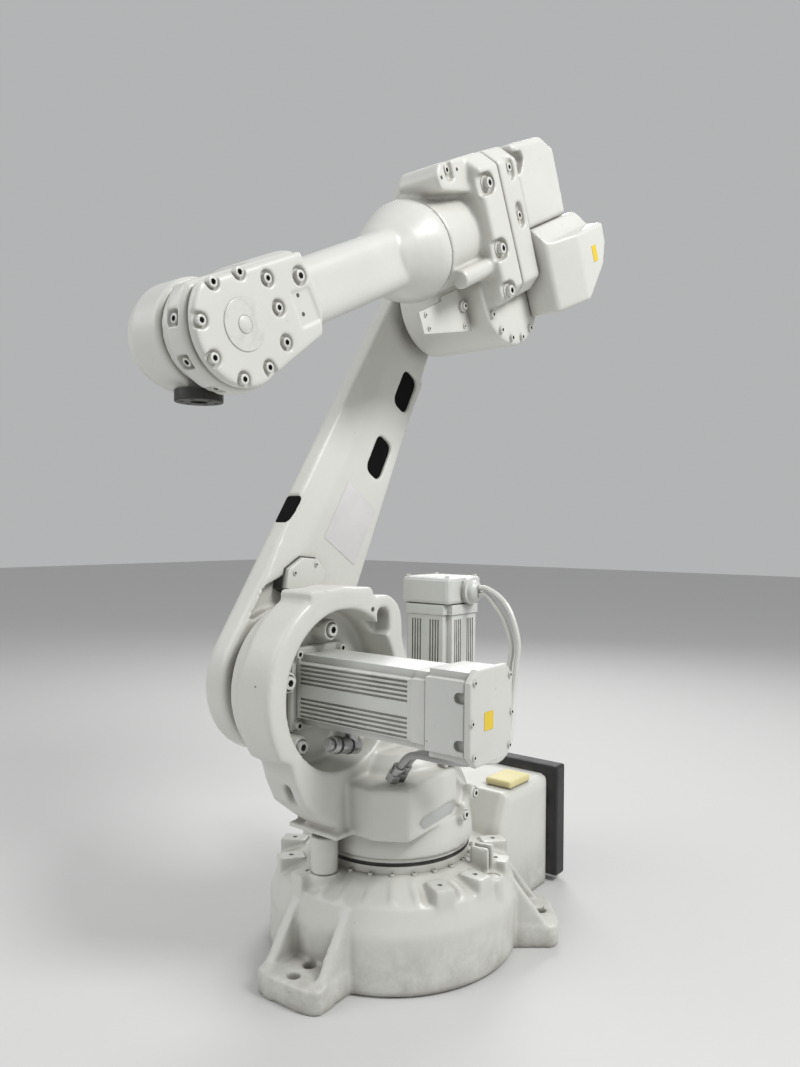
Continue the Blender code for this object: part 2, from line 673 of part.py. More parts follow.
def house_outline():
    """Section across the forearm, as (y, t) pairs."""
    return [(HOUSE_NEAR_Y - 0.025, HOUSE_BOTTOM), (HOUSE_NEAR_Y, HOUSE_BOTTOM + 0.025),
            (HOUSE_NEAR_Y, HOUSE_TOP - 0.030), (HOUSE_NEAR_Y - 0.030, HOUSE_TOP),
            (-0.040, HOUSE_TOP), (HOUSE_FAR_Y, HOUSE_TOP - 0.085),
            (HOUSE_FAR_Y, HOUSE_BOTTOM + 0.030), (HOUSE_FAR_Y + 0.030, HOUSE_BOTTOM)]


def hub_3(clearance=0.0):
    """Round hub on axis 3, or the space that its neighbours leave for it."""
    return cylinder("Y", HOUSE_FAR_Y - 0.010 * bool(clearance), HUB_3_NEAR_Y + clearance, (0, 0),
                    HUB_3_RADIUS + clearance, steps=56, width=0.0 if clearance else 0.006)


def top_lugs():
    """Block over the neck that carries the process cables."""
    back, front = HOUSE_FRONT - 0.02, NECK_SEAM - RUNNING_GAP
    return slab(rounded([(back, HOUSE_TOP - 0.070), (front - 0.006, HOUSE_TOP - 0.048),
                         (front, HOUSE_TOP - 0.020), (front - 0.018, HOUSE_TOP - 0.001),
                         (back, HOUSE_TOP - 0.001)], 0.008), FOREARM_Y + 0.002,
                HOUSE_NEAR_Y - 0.026)


def make_arm_house(frame):
    house = place("arm_house_casting", slab(house_outline(), HOUSE_BACK, HOUSE_FRONT, "X", 0.008),
                  "white_paint", frame)
    combine(house, cylinder("X", HOUSE_BACK + 0.02, NECK_SEAM, (FOREARM_Y, ELBOW_OFFSET),
                            NECK_RADIUS, steps=56))
    combine(house, top_lugs())
    combine(house, cylinder("X", HOUSE_FRONT - 0.02, NECK_SEAM - RUNNING_GAP, (0.106, 0.064), 0.018,
                            steps=24))
    combine(house, hub_3())
    shade(house)

    adapter_front = HOUSE_BACK - GAP
    adapter_back = HOUSE_BACK - ADAPTER_THICKNESS
    adapter = place("adapter_plate", slab(house_outline(), adapter_back, adapter_front, "X", 0.004),
                    "white_paint", frame)
    cut(adapter, hub_3(GAP))
    shade(adapter)

    start = adapter_back - GAP
    end = start - REAR_COVER_LENGTH
    cover = place("rear_motor_cover", slab([
        (start, REAR_COVER_BOTTOM + GAP), (end, REAR_COVER_BOTTOM + GAP), (end, HOUSE_TOP - 0.032),
        (end + 0.050, HOUSE_TOP - 0.002), (start, HOUSE_TOP - 0.002)],
        HOUSE_FAR_Y + 0.012, HOUSE_NEAR_Y - 0.004, width=0.009), "white_paint", frame)
    cut(cover, hub_3(GAP))
    shade(cover)

    rear = start - SIDE_COVER_LENGTH
    side = place("side_motor_cover", slab([
        (start, HOUSE_FAR_Y + 0.02), (start, 0.158), (start - 0.006, 0.166),
        (start - 0.083, SIDE_COVER_Y), (rear, SIDE_COVER_Y), (rear, HOUSE_FAR_Y + 0.02)],
        -0.078, REAR_COVER_BOTTOM, "Z", 0.006), "white_paint", frame)
    top = REAR_COVER_BOTTOM
    cut(side, slab([(HOUSE_NEAR_Y, top), (HOUSE_NEAR_Y + 0.026, top - 0.034),
                    (SIDE_COVER_Y + 0.05, top - 0.040), (SIDE_COVER_Y + 0.05, top + 0.05),
                    (HOUSE_NEAR_Y, top + 0.05)], rear - 0.05, start + 0.05, "X"))
    cut(side, slab([(-0.131, -0.085), (start - 0.187, -0.024), (rear + 0.0005, 0.020),
                    (rear - 0.05, 0.02), (rear - 0.05, -0.15), (-0.131, -0.15)], -0.3, 0.3))
    cut(side, hub_3(GAP))
    shade(side)

    gearbox = place("axis_3_gearbox", cylinder(
        "Y", ARM_NEAR_Y + GAP, HOUSE_FAR_Y - GAP, (0, 0), GEARBOX_3_RADIUS, steps=48),
        "bare_steel", frame)
    shade(gearbox)

    neck_bottom = ELBOW_OFFSET - math.sqrt(NECK_RADIUS ** 2
                                           - (BRACKET_Y + BRACKET_THICKNESS - FOREARM_Y) ** 2)
    back, front = HUB_3_RADIUS + GAP, NECK_SEAM + 0.070
    clear = ELBOW_OFFSET - NECK_RADIUS - RUNNING_GAP
    bracket = place("cable_bracket", slab([
        (back, -0.050), (front, -0.010), (front, clear - 0.004), (NECK_SEAM - 0.012, clear - 0.004),
        (NECK_SEAM - 0.012, neck_bottom - 0.008), (back + 0.020, neck_bottom - 0.008), (back, 0.006)],
        BRACKET_Y, BRACKET_Y + BRACKET_THICKNESS), "white_paint", frame)
    shade(bracket)


# Forearm and wrist, measured from axis 3 along axis 4

def make_forearm(frame):
    wrist_back = FOREARM_LENGTH - WRIST_NECK
    flare = NECK_SEAM + FLARE_LENGTH
    half = TUBE_HALF
    corners = [(FOREARM_Y + side * half, ELBOW_OFFSET + rise * half)
               for side, rise in ((-1, -1), (1, -1), (1, 1), (-1, 1))]
    section = rounded(corners, TUBE_CORNER, 6)
    tube = place("forearm_tube", slab(section, NECK_SEAM + 0.03, wrist_back - GAP, "X"),
                 "white_paint", frame)
    combine(tube, turned([
        (0, flare + 0.020), (half - 0.010, flare + 0.020), (half + 0.006, flare),
        (half + 0.022, NECK_SEAM + 0.074), (NECK_RADIUS - 0.009, NECK_SEAM + 0.050),
        (NECK_RADIUS - 0.002, NECK_SEAM + 0.030), (NECK_RADIUS, NECK_SEAM + 0.016),
        (NECK_RADIUS, NECK_SEAM + GAP), (0, NECK_SEAM + GAP)],
        "X", (FOREARM_Y, ELBOW_OFFSET), 56))
    shade(tube, 50)

    centre = (FOREARM_LENGTH, ELBOW_OFFSET)
    high, low = ELBOW_OFFSET + WRIST_NECK_HALF, ELBOW_OFFSET - WRIST_NECK_HALF + 0.008
    level = math.degrees(math.asin(WRIST_NECK_HALF / WRIST_RADIUS))
    wrist_front = FOREARM_LENGTH - TILT_RADIUS - 0.009
    disc_y = FOREARM_Y + TOOL_FLANGE_RADIUS + RUNNING_GAP
    side = FOREARM_Y - half - 0.004
    neck = rounded([(side, low), (WRIST_NEAR_Y - 0.002, low), (WRIST_NEAR_Y - 0.002, high),
                    (side, high)], 0.040)
    housing = place("wrist_housing", slab(neck, wrist_back, wrist_front, "X"),
                    "white_paint", frame)
    outline = ([(wrist_back + 0.012, high - 0.004), (wrist_back + 0.012, low + 0.004)]
               + arc(centre, WRIST_RADIUS, -112, level, 32))
    combine(housing, slab(outline, disc_y, WRIST_NEAR_Y, width=0.008))
    combine(housing, cylinder("Y", WRIST_SEAM_Y, disc_y + 0.01, centre, WRIST_BAND_RADIUS,
                              steps=56))
    shade(housing)
    inset = 0.006
    cover_outline = ([(wrist_back + 0.018, high - 0.008), (wrist_back + 0.002, ELBOW_OFFSET - 0.010),
                      (wrist_back + 0.024, low + 0.010)]
                     + arc(centre, WRIST_RADIUS - inset, -112, level, 32))
    cover = place("wrist_cover", slab(cover_outline, WRIST_NEAR_Y + GAP, WRIST_NEAR_Y + WRIST_COVER,
                                      width=0.006), "white_paint", frame)
    shade(cover)
    disc_start = WRIST_NEAR_Y + WRIST_COVER + GAP
    disc = place("wrist_cap", turned([
        (0, 0.0035), (0.008, 0.0035), (0.009, 0.0015), (0.034, 0.0015), (0.036, 0), (0, 0)], "Y",
        steps=40), "white_paint", frame)
    disc.location = (centre[0], disc_start, centre[1])
    shade(disc)


def make_wrist_tilt(frame):
    """Tilting body beside the wrist housing, straight ahead along +X."""
    near = WRIST_SEAM_Y - GAP
    tilt = place("tilt_housing", turned([
        (0, near), (TILT_RADIUS - 0.004, near), (TILT_RADIUS, near - 0.005),
        (TILT_RADIUS, TILT_FAR_Y + 0.034), (TILT_RADIUS - 0.010, TILT_FAR_Y + 0.010),
        (TILT_RADIUS - 0.026, TILT_FAR_Y), (0, TILT_FAR_Y)], "Y", steps=56), "white_paint", frame)
    nose_y = (FOREARM_Y - NOSE_RADIUS, WRIST_SEAM_Y - GAP)
    combine(tilt, box((0.02, nose_y[0], -NOSE_RADIUS),
                      (FLANGE_REACH - TOOL_FLANGE_THICKNESS - GAP, nose_y[1], NOSE_RADIUS)))
    shade(tilt)


def make_tool_flange(frame):
    flange = place("tool_flange", turned([
        (0, FLANGE_REACH), (TOOL_FLANGE_RADIUS, FLANGE_REACH),
        (TOOL_FLANGE_RADIUS, FLANGE_REACH - TOOL_FLANGE_THICKNESS),
        (0, FLANGE_REACH - TOOL_FLANGE_THICKNESS)], "X", (FOREARM_Y, 0), 40), "black_steel", frame)
    shade(flange)


def main():
    clear_scene()
    make_materials()
    axis_2 = joint_frame("axis_2_frame", (AXIS_2_AHEAD, 0, AXIS_2_HEIGHT), LOWER_ARM_LEAN)
    axis_3 = joint_frame("axis_3_frame", (0, 0, LOWER_ARM_LENGTH),
                         FOREARM_PITCH - LOWER_ARM_LEAN, axis_2)
    axis_5 = joint_frame("axis_5_frame", (FOREARM_LENGTH, 0, ELBOW_OFFSET),
                         TOOL_PITCH - FOREARM_PITCH, axis_3)
    make_base()
    make_turret()
    make_motor_1()
    make_motor_2()
    make_lower_arm(axis_2)
    make_arm_house(axis_3)
    make_forearm(axis_3)
    make_wrist_tilt(axis_5)
    make_tool_flange(axis_5)
    bpy.context.view_layer.update()


main()
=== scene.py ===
"""Looks for a six-axis industrial robot arm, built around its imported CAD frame."""
import json
import math

import bmesh
import bpy
from mathutils import Matrix, Vector

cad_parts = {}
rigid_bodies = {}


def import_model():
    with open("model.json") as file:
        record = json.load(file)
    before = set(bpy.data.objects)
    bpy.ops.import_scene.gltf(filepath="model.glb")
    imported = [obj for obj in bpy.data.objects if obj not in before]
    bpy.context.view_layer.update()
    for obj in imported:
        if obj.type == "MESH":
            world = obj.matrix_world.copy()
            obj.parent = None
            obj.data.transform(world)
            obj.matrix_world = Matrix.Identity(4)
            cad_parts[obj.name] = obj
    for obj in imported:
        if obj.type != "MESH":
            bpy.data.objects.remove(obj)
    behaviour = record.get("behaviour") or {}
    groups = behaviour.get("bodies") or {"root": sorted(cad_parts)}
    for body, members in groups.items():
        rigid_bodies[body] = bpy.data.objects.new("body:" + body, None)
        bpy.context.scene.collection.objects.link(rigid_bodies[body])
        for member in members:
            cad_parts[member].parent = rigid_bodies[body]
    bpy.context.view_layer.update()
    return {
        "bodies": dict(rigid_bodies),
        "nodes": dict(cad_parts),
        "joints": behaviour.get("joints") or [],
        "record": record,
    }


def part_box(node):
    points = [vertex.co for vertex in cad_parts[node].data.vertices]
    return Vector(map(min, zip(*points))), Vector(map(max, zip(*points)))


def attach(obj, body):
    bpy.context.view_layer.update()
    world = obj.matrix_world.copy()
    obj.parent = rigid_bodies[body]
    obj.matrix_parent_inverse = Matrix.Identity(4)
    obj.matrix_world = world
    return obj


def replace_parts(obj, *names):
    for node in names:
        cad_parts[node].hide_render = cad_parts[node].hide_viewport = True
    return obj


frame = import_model()
NODES = frame["nodes"]
JOINTS = {joint["name"]: Vector(joint["pos_m"]) for joint in frame["joints"]}

# Pose of the arm in the photograph, in degrees about +Y
LOWER_LEAN = -29.0
FOREARM_PITCH = 27.0
TOOL_PITCH = 90.0

# Wrist's centre, ahead of axis 3 and above it along the forearm
FOREARM_LENGTH = 0.770
ELBOW_OFFSET = 0.137


def joint_frame(place, pitch):
    """Frame at a joint, with +X ahead and +Z up, turned about +Y."""
    return Matrix.Translation(place) @ Matrix.Rotation(math.radians(pitch), 4, "Y")


def about_z(angle):
    """Frame turned about axis 1."""
    return Matrix.Rotation(math.radians(angle), 4, "Z")


BASE = Matrix.Identity(4)
LOWER = joint_frame(JOINTS["axis_2"], LOWER_LEAN)
UPPER = joint_frame(JOINTS["axis_3"], FOREARM_PITCH)
TOOL = joint_frame(UPPER @ Vector((FOREARM_LENGTH, 0, ELBOW_OFFSET)), TOOL_PITCH)

# Camera of the photograph, with its heading counter-clockwise from +X
CAMERA_PLACE = (1.24679, 0.98996, 0.777)
CAMERA_HEADING = -141.802
CAMERA_DOWN = 0.365
CAMERA_ROLL = 0.457
CAMERA_LENS = 27.889
SENSOR_HEIGHT = 36.0

# Lamps: name, place, size and watts, all aimed at the arm's middle
LAMPS = (("key", (-0.3, 2.5, 3.3), 1.3, 92), ("fill", (2.2, -1.4, 2.4), 2.2, 26),
         ("rim", (-2.6, -1.4, 2.6), 1.6, 46))
LAMP_TARGET = Vector((0.1, 0.0, 0.8))
WORLD_COLOUR = (0.98, 0.99, 1.0, 1)
WORLD_STRENGTH = 0.46

FLOOR_COLOUR = (0.62, 0.62, 0.61, 1)
FLOOR_HALF = 14.0
FLOOR_DROP = 0.0005     # below the arm's feet


# Camera, light and floor

def linked(name, data):
    """New object in the scene."""
    obj = bpy.data.objects.new(name, data)
    bpy.context.scene.collection.objects.link(obj)
    return obj


def add_camera():
    heading, down = math.radians(CAMERA_HEADING), math.radians(CAMERA_DOWN)
    roll = math.radians(CAMERA_ROLL)
    ahead = Vector((math.cos(heading) * math.cos(down), math.sin(heading) * math.cos(down),
                    -math.sin(down)))
    right = ahead.cross(Vector((0, 0, 1))).normalized()
    up = right.cross(ahead)
    right, up = (right * math.cos(roll) + up * math.sin(roll),
                 up * math.cos(roll) - right * math.sin(roll))
    camera = bpy.data.cameras.new("camera")
    camera.sensor_fit = "VERTICAL"
    camera.sensor_height = SENSOR_HEIGHT
    camera.lens = CAMERA_LENS
    obj = linked("camera", camera)
    turn = Matrix((right, up, -ahead)).transposed().to_4x4()
    obj.matrix_world = Matrix.Translation(CAMERA_PLACE) @ turn
    bpy.context.scene.camera = obj


def add_light():
    for name, place, size, energy in LAMPS:
        lamp = bpy.data.lights.new(name, "AREA")
        lamp.shape = "DISK"
        lamp.size = size
        lamp.energy = energy
        obj = linked(name, lamp)
        obj.location = place
        obj.rotation_euler = (LAMP_TARGET - Vector(place)).to_track_quat("-Z", "Y").to_euler()
    world = bpy.data.worlds.new("studio")
    bpy.context.scene.world = world
    world.use_nodes = True
    background = world.node_tree.nodes["Background"]
    background.inputs["Color"].default_value = WORLD_COLOUR
    background.inputs["Strength"].default_value = WORLD_STRENGTH


def add_floor():
    bm = bmesh.new()
    bmesh.ops.create_grid(bm, x_segments=1, y_segments=1, size=FLOOR_HALF)
    mesh = bpy.data.meshes.new("floor")
    bm.to_mesh(mesh)
    bm.free()
    floor = linked("floor", mesh)
    floor.location.z = -FLOOR_DROP
    material = bpy.data.materials.new("floor")
    material.use_nodes = True
    shader = material.node_tree.nodes["Principled BSDF"]
    shader.inputs["Base Color"].default_value = FLOOR_COLOUR
    shader.inputs["Roughness"].default_value = 0.75
    mesh.materials.append(material)


# Materials

# Colours of dirt and wear, of dust and painted shade in corners, and of the darkening towards the floor
CORNER_DUST_AND_SHADE = (0.235, 0.22, 0.19)
STREAK = (0.34, 0.32, 0.28)
WORN = (0.30, 0.28, 0.25)
LOW_DARKENING = (0.25, 0.23, 0.19)
CHIP = (0.12, 0.11, 0.10)
PLASTIC_DUST_AND_SHADE = (0.20, 0.19, 0.17)
STEEL_DIRT_AND_SHADE = (0.06, 0.05, 0.04)
LOW_DARKENING_HEIGHT = 0.11     # how far up from the floor the paint is darkened


class Nodes:
    """Short calls for one material's node tree."""

    def __init__(self, name):
        self.material = bpy.data.materials.new(name)
        self.material.use_nodes = True
        self.tree = self.material.node_tree
        self.shader = self.tree.nodes["Principled BSDF"]
        self.place = self.add("ShaderNodeTexCoord").outputs["Object"]

    def add(self, kind, **settings):
        node = self.tree.nodes.new(kind)
        for key, value in settings.items():
            setattr(node, key, value)
        return node

    def join(self, source, target):
        self.tree.links.new(source, target)

    def noise(self, scale, detail=4.0, roughness=0.5, distortion=0.0):
        node = self.add("ShaderNodeTexNoise")
        for key, value in (("Scale", scale), ("Detail", detail), ("Roughness", roughness),
                           ("Distortion", distortion)):
            node.inputs[key].default_value = value
        self.join(self.place, node.inputs["Vector"])
        return node.outputs["Fac"]

    def height(self):
        node = self.add("ShaderNodeSeparateXYZ")
        self.join(self.place, node.inputs["Vector"])
        return node.outputs["Z"]

    def between(self, value, low, high, out_low=0.0, out_high=1.0):
        """Value stretched from one range to another, and kept inside it."""
        node = self.add("ShaderNodeMapRange", clamp=True)
        for key, number in (("From Min", low), ("From Max", high), ("To Min", out_low),
                            ("To Max", out_high)):
            node.inputs[key].default_value = number
        self.join(value, node.inputs["Value"])
        return node.outputs["Result"]

    def math(self, operation, first, second):
        node = self.add("ShaderNodeMath", operation=operation)
        for socket, value in zip(node.inputs, (first, second)):
            if isinstance(value, (int, float)):
                socket.default_value = value
            else:
                self.join(value, socket)
        return node.outputs["Value"]

    def times(self, first, second):
        return self.math("MULTIPLY", first, second)

    def mix(self, factor, first, second):
        """Colour between two colours or sockets."""
        node = self.add("ShaderNodeMix", data_type="RGBA")
        self.join(factor, node.inputs["Factor"])
        for key, value in ((6, first), (7, second)):
            if isinstance(value, tuple):
                node.inputs[key].default_value = (*value, 1.0)
            else:
                self.join(value, node.inputs[key])
        return node.outputs[2]

    def crevice(self, distance, inside=False):
        """1 in corners and recesses, 0 on open faces; from inside, 1 at outer edges."""
        node = self.add("ShaderNodeAmbientOcclusion", samples=8, inside=inside)
        node.inputs["Distance"].default_value = distance
        return self.between(node.outputs["AO"], 0.45, 0.95, 1.0, 0.0)

    def bump(self, *layers):
        """Stack of (height, strength, distance in metres) layers."""
        normal = None
        for height, strength, distance in layers:
            node = self.add("ShaderNodeBump")
            node.inputs["Strength"].default_value = strength
            node.inputs["Distance"].default_value = distance
            self.join(height, node.inputs["Height"])
            if normal:
                self.join(normal, node.inputs["Normal"])
            normal = node.outputs["Normal"]
        self.join(normal, self.shader.inputs["Normal"])


def painted(name, colour, roughness, cast_grain, grime_and_shade):
    """Sprayed paint over cast or machined metal, with dust and painted shade in its corners, worn spots
    and darker paint towards the floor.
    """
    nodes = Nodes(name)
    patches = nodes.between(nodes.noise(3.2, 5, 0.6), 0.35, 0.70)
    base = nodes.mix(patches, colour, tuple(channel * 0.90 for channel in colour))
    # Painted shade: corners and recesses darkened by ambient occlusion, broken by noise, together with
    # dust
    dust_and_shade = nodes.times(nodes.crevice(0.035),
                       nodes.between(nodes.noise(14, 5), 0.25, 0.75, 0.35, 1.0))
    base = nodes.mix(nodes.times(dust_and_shade, grime_and_shade), base, CORNER_DUST_AND_SHADE)
    streaks = nodes.between(nodes.noise(38, 7, 0.72, 0.4), 0.665, 0.72)
    base = nodes.mix(nodes.times(streaks, 0.55 * grime_and_shade), base, STREAK)
    worn = nodes.times(nodes.crevice(0.005, True),
                       nodes.between(nodes.noise(33, 6, 0.6), 0.50, 0.62))
    base = nodes.mix(nodes.times(worn, 0.30 * grime_and_shade), base, WORN)
    # Darker towards the floor, broken by noise
    low_darkening = nodes.times(nodes.between(nodes.height(), 0.0, LOW_DARKENING_HEIGHT, 1.0, 0.0),
                         nodes.between(nodes.noise(21, 7, 0.7), 0.42, 0.68))
    base = nodes.mix(nodes.times(low_darkening, 0.55), base, LOW_DARKENING)
    chips = nodes.between(nodes.noise(62, 3, 0.5), 0.765, 0.785)
    base = nodes.mix(nodes.times(chips, 0.8), base, CHIP)
    nodes.join(base, nodes.shader.inputs["Base Color"])

    rough = nodes.between(nodes.noise(9, 6, 0.65), 0.3, 0.75, roughness - 0.07, roughness + 0.12)
    rough = nodes.math("ADD", rough, nodes.times(dust_and_shade, 0.25))
    nodes.join(rough, nodes.shader.inputs["Roughness"])
    nodes.shader.inputs["Coat Weight"].default_value = 0.12
    nodes.shader.inputs["Coat Roughness"].default_value = 0.18
    nodes.bump((nodes.noise(26, 3), 0.22 * cast_grain, 0.004),
               (nodes.noise(150, 3), 0.16 * cast_grain, 0.001),
               (nodes.noise(520, 2), 0.10, 0.0004), (chips, 0.25, -0.0004))
    return nodes.material


def moulded(name, colour, roughness, fade=0.02, dust_and_shade_amount=0.5, gloss=0.5):
    """Fine-grained plastic, faded in patches, and greyed in its corners by dust and, on the pale
    plastics, by painted shade.
    """
    nodes = Nodes(name)
    # Corners and recesses greyed by ambient occlusion: dust, and painted shade on the pale plastics
    dust_and_shade = nodes.times(nodes.crevice(0.02), nodes.between(nodes.noise(22, 5), 0.3, 0.7))
    faded = tuple(min(1.0, channel * 0.8 + fade) for channel in colour)
    base = nodes.mix(nodes.between(nodes.noise(6, 6, 0.6), 0.4, 0.8), colour, faded)
    base = nodes.mix(nodes.times(dust_and_shade, dust_and_shade_amount), base, PLASTIC_DUST_AND_SHADE)
    nodes.join(base, nodes.shader.inputs["Base Color"])
    nodes.join(nodes.between(nodes.noise(11, 5), 0.3, 0.7, roughness - 0.08, roughness + 0.1),
               nodes.shader.inputs["Roughness"])
    nodes.shader.inputs["Specular IOR Level"].default_value = gloss
    nodes.bump((nodes.noise(700, 2), 0.18, 0.0003))
    return nodes.material


def steel(name, colour, roughness, metallic=1.0):
    """Machined or blackened steel, stained and finely scratched."""
    nodes = Nodes(name)
    stain = nodes.between(nodes.noise(18, 6, 0.7), 0.4, 0.75)
    base = nodes.mix(stain, colour, tuple(channel * 0.55 for channel in colour))
    # Dirt and painted shade: corners and recesses darkened by ambient occlusion
    base = nodes.mix(nodes.times(nodes.crevice(0.012), 0.7), base, STEEL_DIRT_AND_SHADE)
    nodes.join(base, nodes.shader.inputs["Base Color"])
    nodes.shader.inputs["Metallic"].default_value = metallic
    nodes.join(nodes.between(nodes.noise(40, 6), 0.3, 0.7, roughness - 0.08, roughness + 0.14),
               nodes.shader.inputs["Roughness"])
    nodes.bump((nodes.noise(260, 4), 0.12, 0.0004))
    return nodes.material


# Each finish: its slot in the record, its maker, and the maker's colour, roughness and so on
FINISHES = {
    "cast_white": ("white_paint", painted, (0.70, 0.70, 0.655), 0.36, 1.0, 0.85),
    "smooth_white": ("white_paint", painted, (0.71, 0.71, 0.67), 0.33, 0.45, 0.7),
    "motor_white": ("white_paint", painted, (0.69, 0.70, 0.67), 0.36, 0.25, 0.85),
    "black_plastic": ("black_plastic", moulded, (0.018, 0.018, 0.02), 0.48),
    "yellow_plastic": ("yellow_plastic", moulded, (0.78, 0.70, 0.36), 0.5),
    "black_steel": ("black_steel", steel, (0.06, 0.058, 0.055), 0.42, 0.6),
    "bare_steel": ("bare_steel", steel, (0.50, 0.50, 0.50), 0.32),
    "dark": ("black_plastic", moulded, (0.03, 0.03, 0.03), 0.6),
    "deep_black": ("black_plastic", moulded, (0.002, 0.002, 0.002), 0.70, 0.001, 0.01, 0.12),
    "grey_plate": ("white_paint", moulded, (0.50, 0.51, 0.50), 0.35),
    "label_white": ("white_paint", moulded, (0.70, 0.685, 0.685), 0.40, 0.02, 0.2),
    "label_yellow": ("yellow_plastic", moulded, (0.86, 0.62, 0.03), 0.42),
    "cable_grey": ("cable_jacket", moulded, (0.42, 0.42, 0.41), 0.45),
}
MATERIALS = {name: make(name, *values) for name, (_, make, *values) in FINISHES.items()}

# Finish of each CAD node: its own, or else its slot's
NODE_FINISHES = {"motor_1_flange": "motor_white", "motor_1_cap": "motor_white",
                 "motor_1_connector": "motor_white", "motor_2_flange": "motor_white",
                 "motor_2_end_cover": "smooth_white"}
SLOT_FINISHES = {"white_paint": "cast_white", "cable_jacket": "smooth_white"}


def dress_nodes():
    """Give each CAD node its procedural material."""
    for name, obj in NODES.items():
        slot = obj.data.materials[0].name.split(".")[0]
        finish = NODE_FINISHES.get(name, SLOT_FINISHES.get(slot, slot))
        obj.data.materials.clear()
        obj.data.materials.append(MATERIALS[finish])


# Outlines and paths

def polar(radius, angle):
    """Point at an angle in degrees, from the first axis towards the second."""
    return radius * math.cos(math.radians(angle)), radius * math.sin(math.radians(angle))


def arc(centre, radius, start, end, steps):
    """Points on a circle between two angles in degrees."""
    spots = [polar(radius, start + (end - start) * i / steps) for i in range(steps + 1)]
    return [(centre[0] + u, centre[1] + v) for u, v in spots]


def obround(centre, length, radius, lean=0.0):
    """Slot's outline: two half circles, length apart, leaning from the vertical."""
    lean = math.radians(lean)
    across, along = (math.cos(lean), -math.sin(lean)), (math.sin(lean), math.cos(lean))
    points = []
    for sign, start in ((1, 0), (-1, 180)):
        for u, v in arc((0, sign * length / 2), radius, start, start + 180, 8):
            points.append((centre[0] + u * across[0] + v * along[0],
                           centre[1] + u * across[1] + v * along[1]))
    return points


def rounded_box(centre, half_width, half_height, corner):
    """Rectangle's outline with round corners."""
    width, height = half_width - corner, half_height - corner
    points = []
    for u, v, start in ((1, 1, 0), (-1, 1, 90), (-1, -1, 180), (1, -1, 270)):
        middle = (centre[0] + u * width, centre[1] + v * height)
        points += arc(middle, corner, start, start + 90, 6)
    return points


def tube_path(points, steps=8):
    """Smooth curve through the points."""
    knots = [Vector(point) for point in points]
    knots = [knots[0] * 2 - knots[1]] + knots + [knots[-1] * 2 - knots[-2]]
    path = []
    for a, b, c, d in zip(knots, knots[1:], knots[2:], knots[3:]):
        for k in range(steps):
            f = k / steps
            path.append((b * 2 + (c - a) * f + (a * 2 - b * 5 + c * 4 - d) * f ** 2
                         + (b * 3 - a - c * 3 + d) * f ** 3) / 2)
    return path + [knots[-2]]


# Mesh makers

SCREW_ROOT = 0.002     # a screw's head starts this far under its seat
OVERLAP = 0.0002       # how far a piece stands in what carries it, so that no gap shows


def facing(direction):
    """Turn that points +Z along a direction."""
    return Vector(direction).to_track_quat("Z", "Y").to_matrix().to_4x4()


def round_edges(bm, edges, width, segments=3):
    bmesh.ops.bevel(bm, geom=edges, offset=width, segments=segments, profile=0.5, affect="EDGES")


def smooth(mesh, sharp):
    """Smooth shading, but for edges sharper than an angle in degrees."""
    mesh.shade_smooth()
    mesh.set_sharp_from_angle(angle=math.radians(sharp))


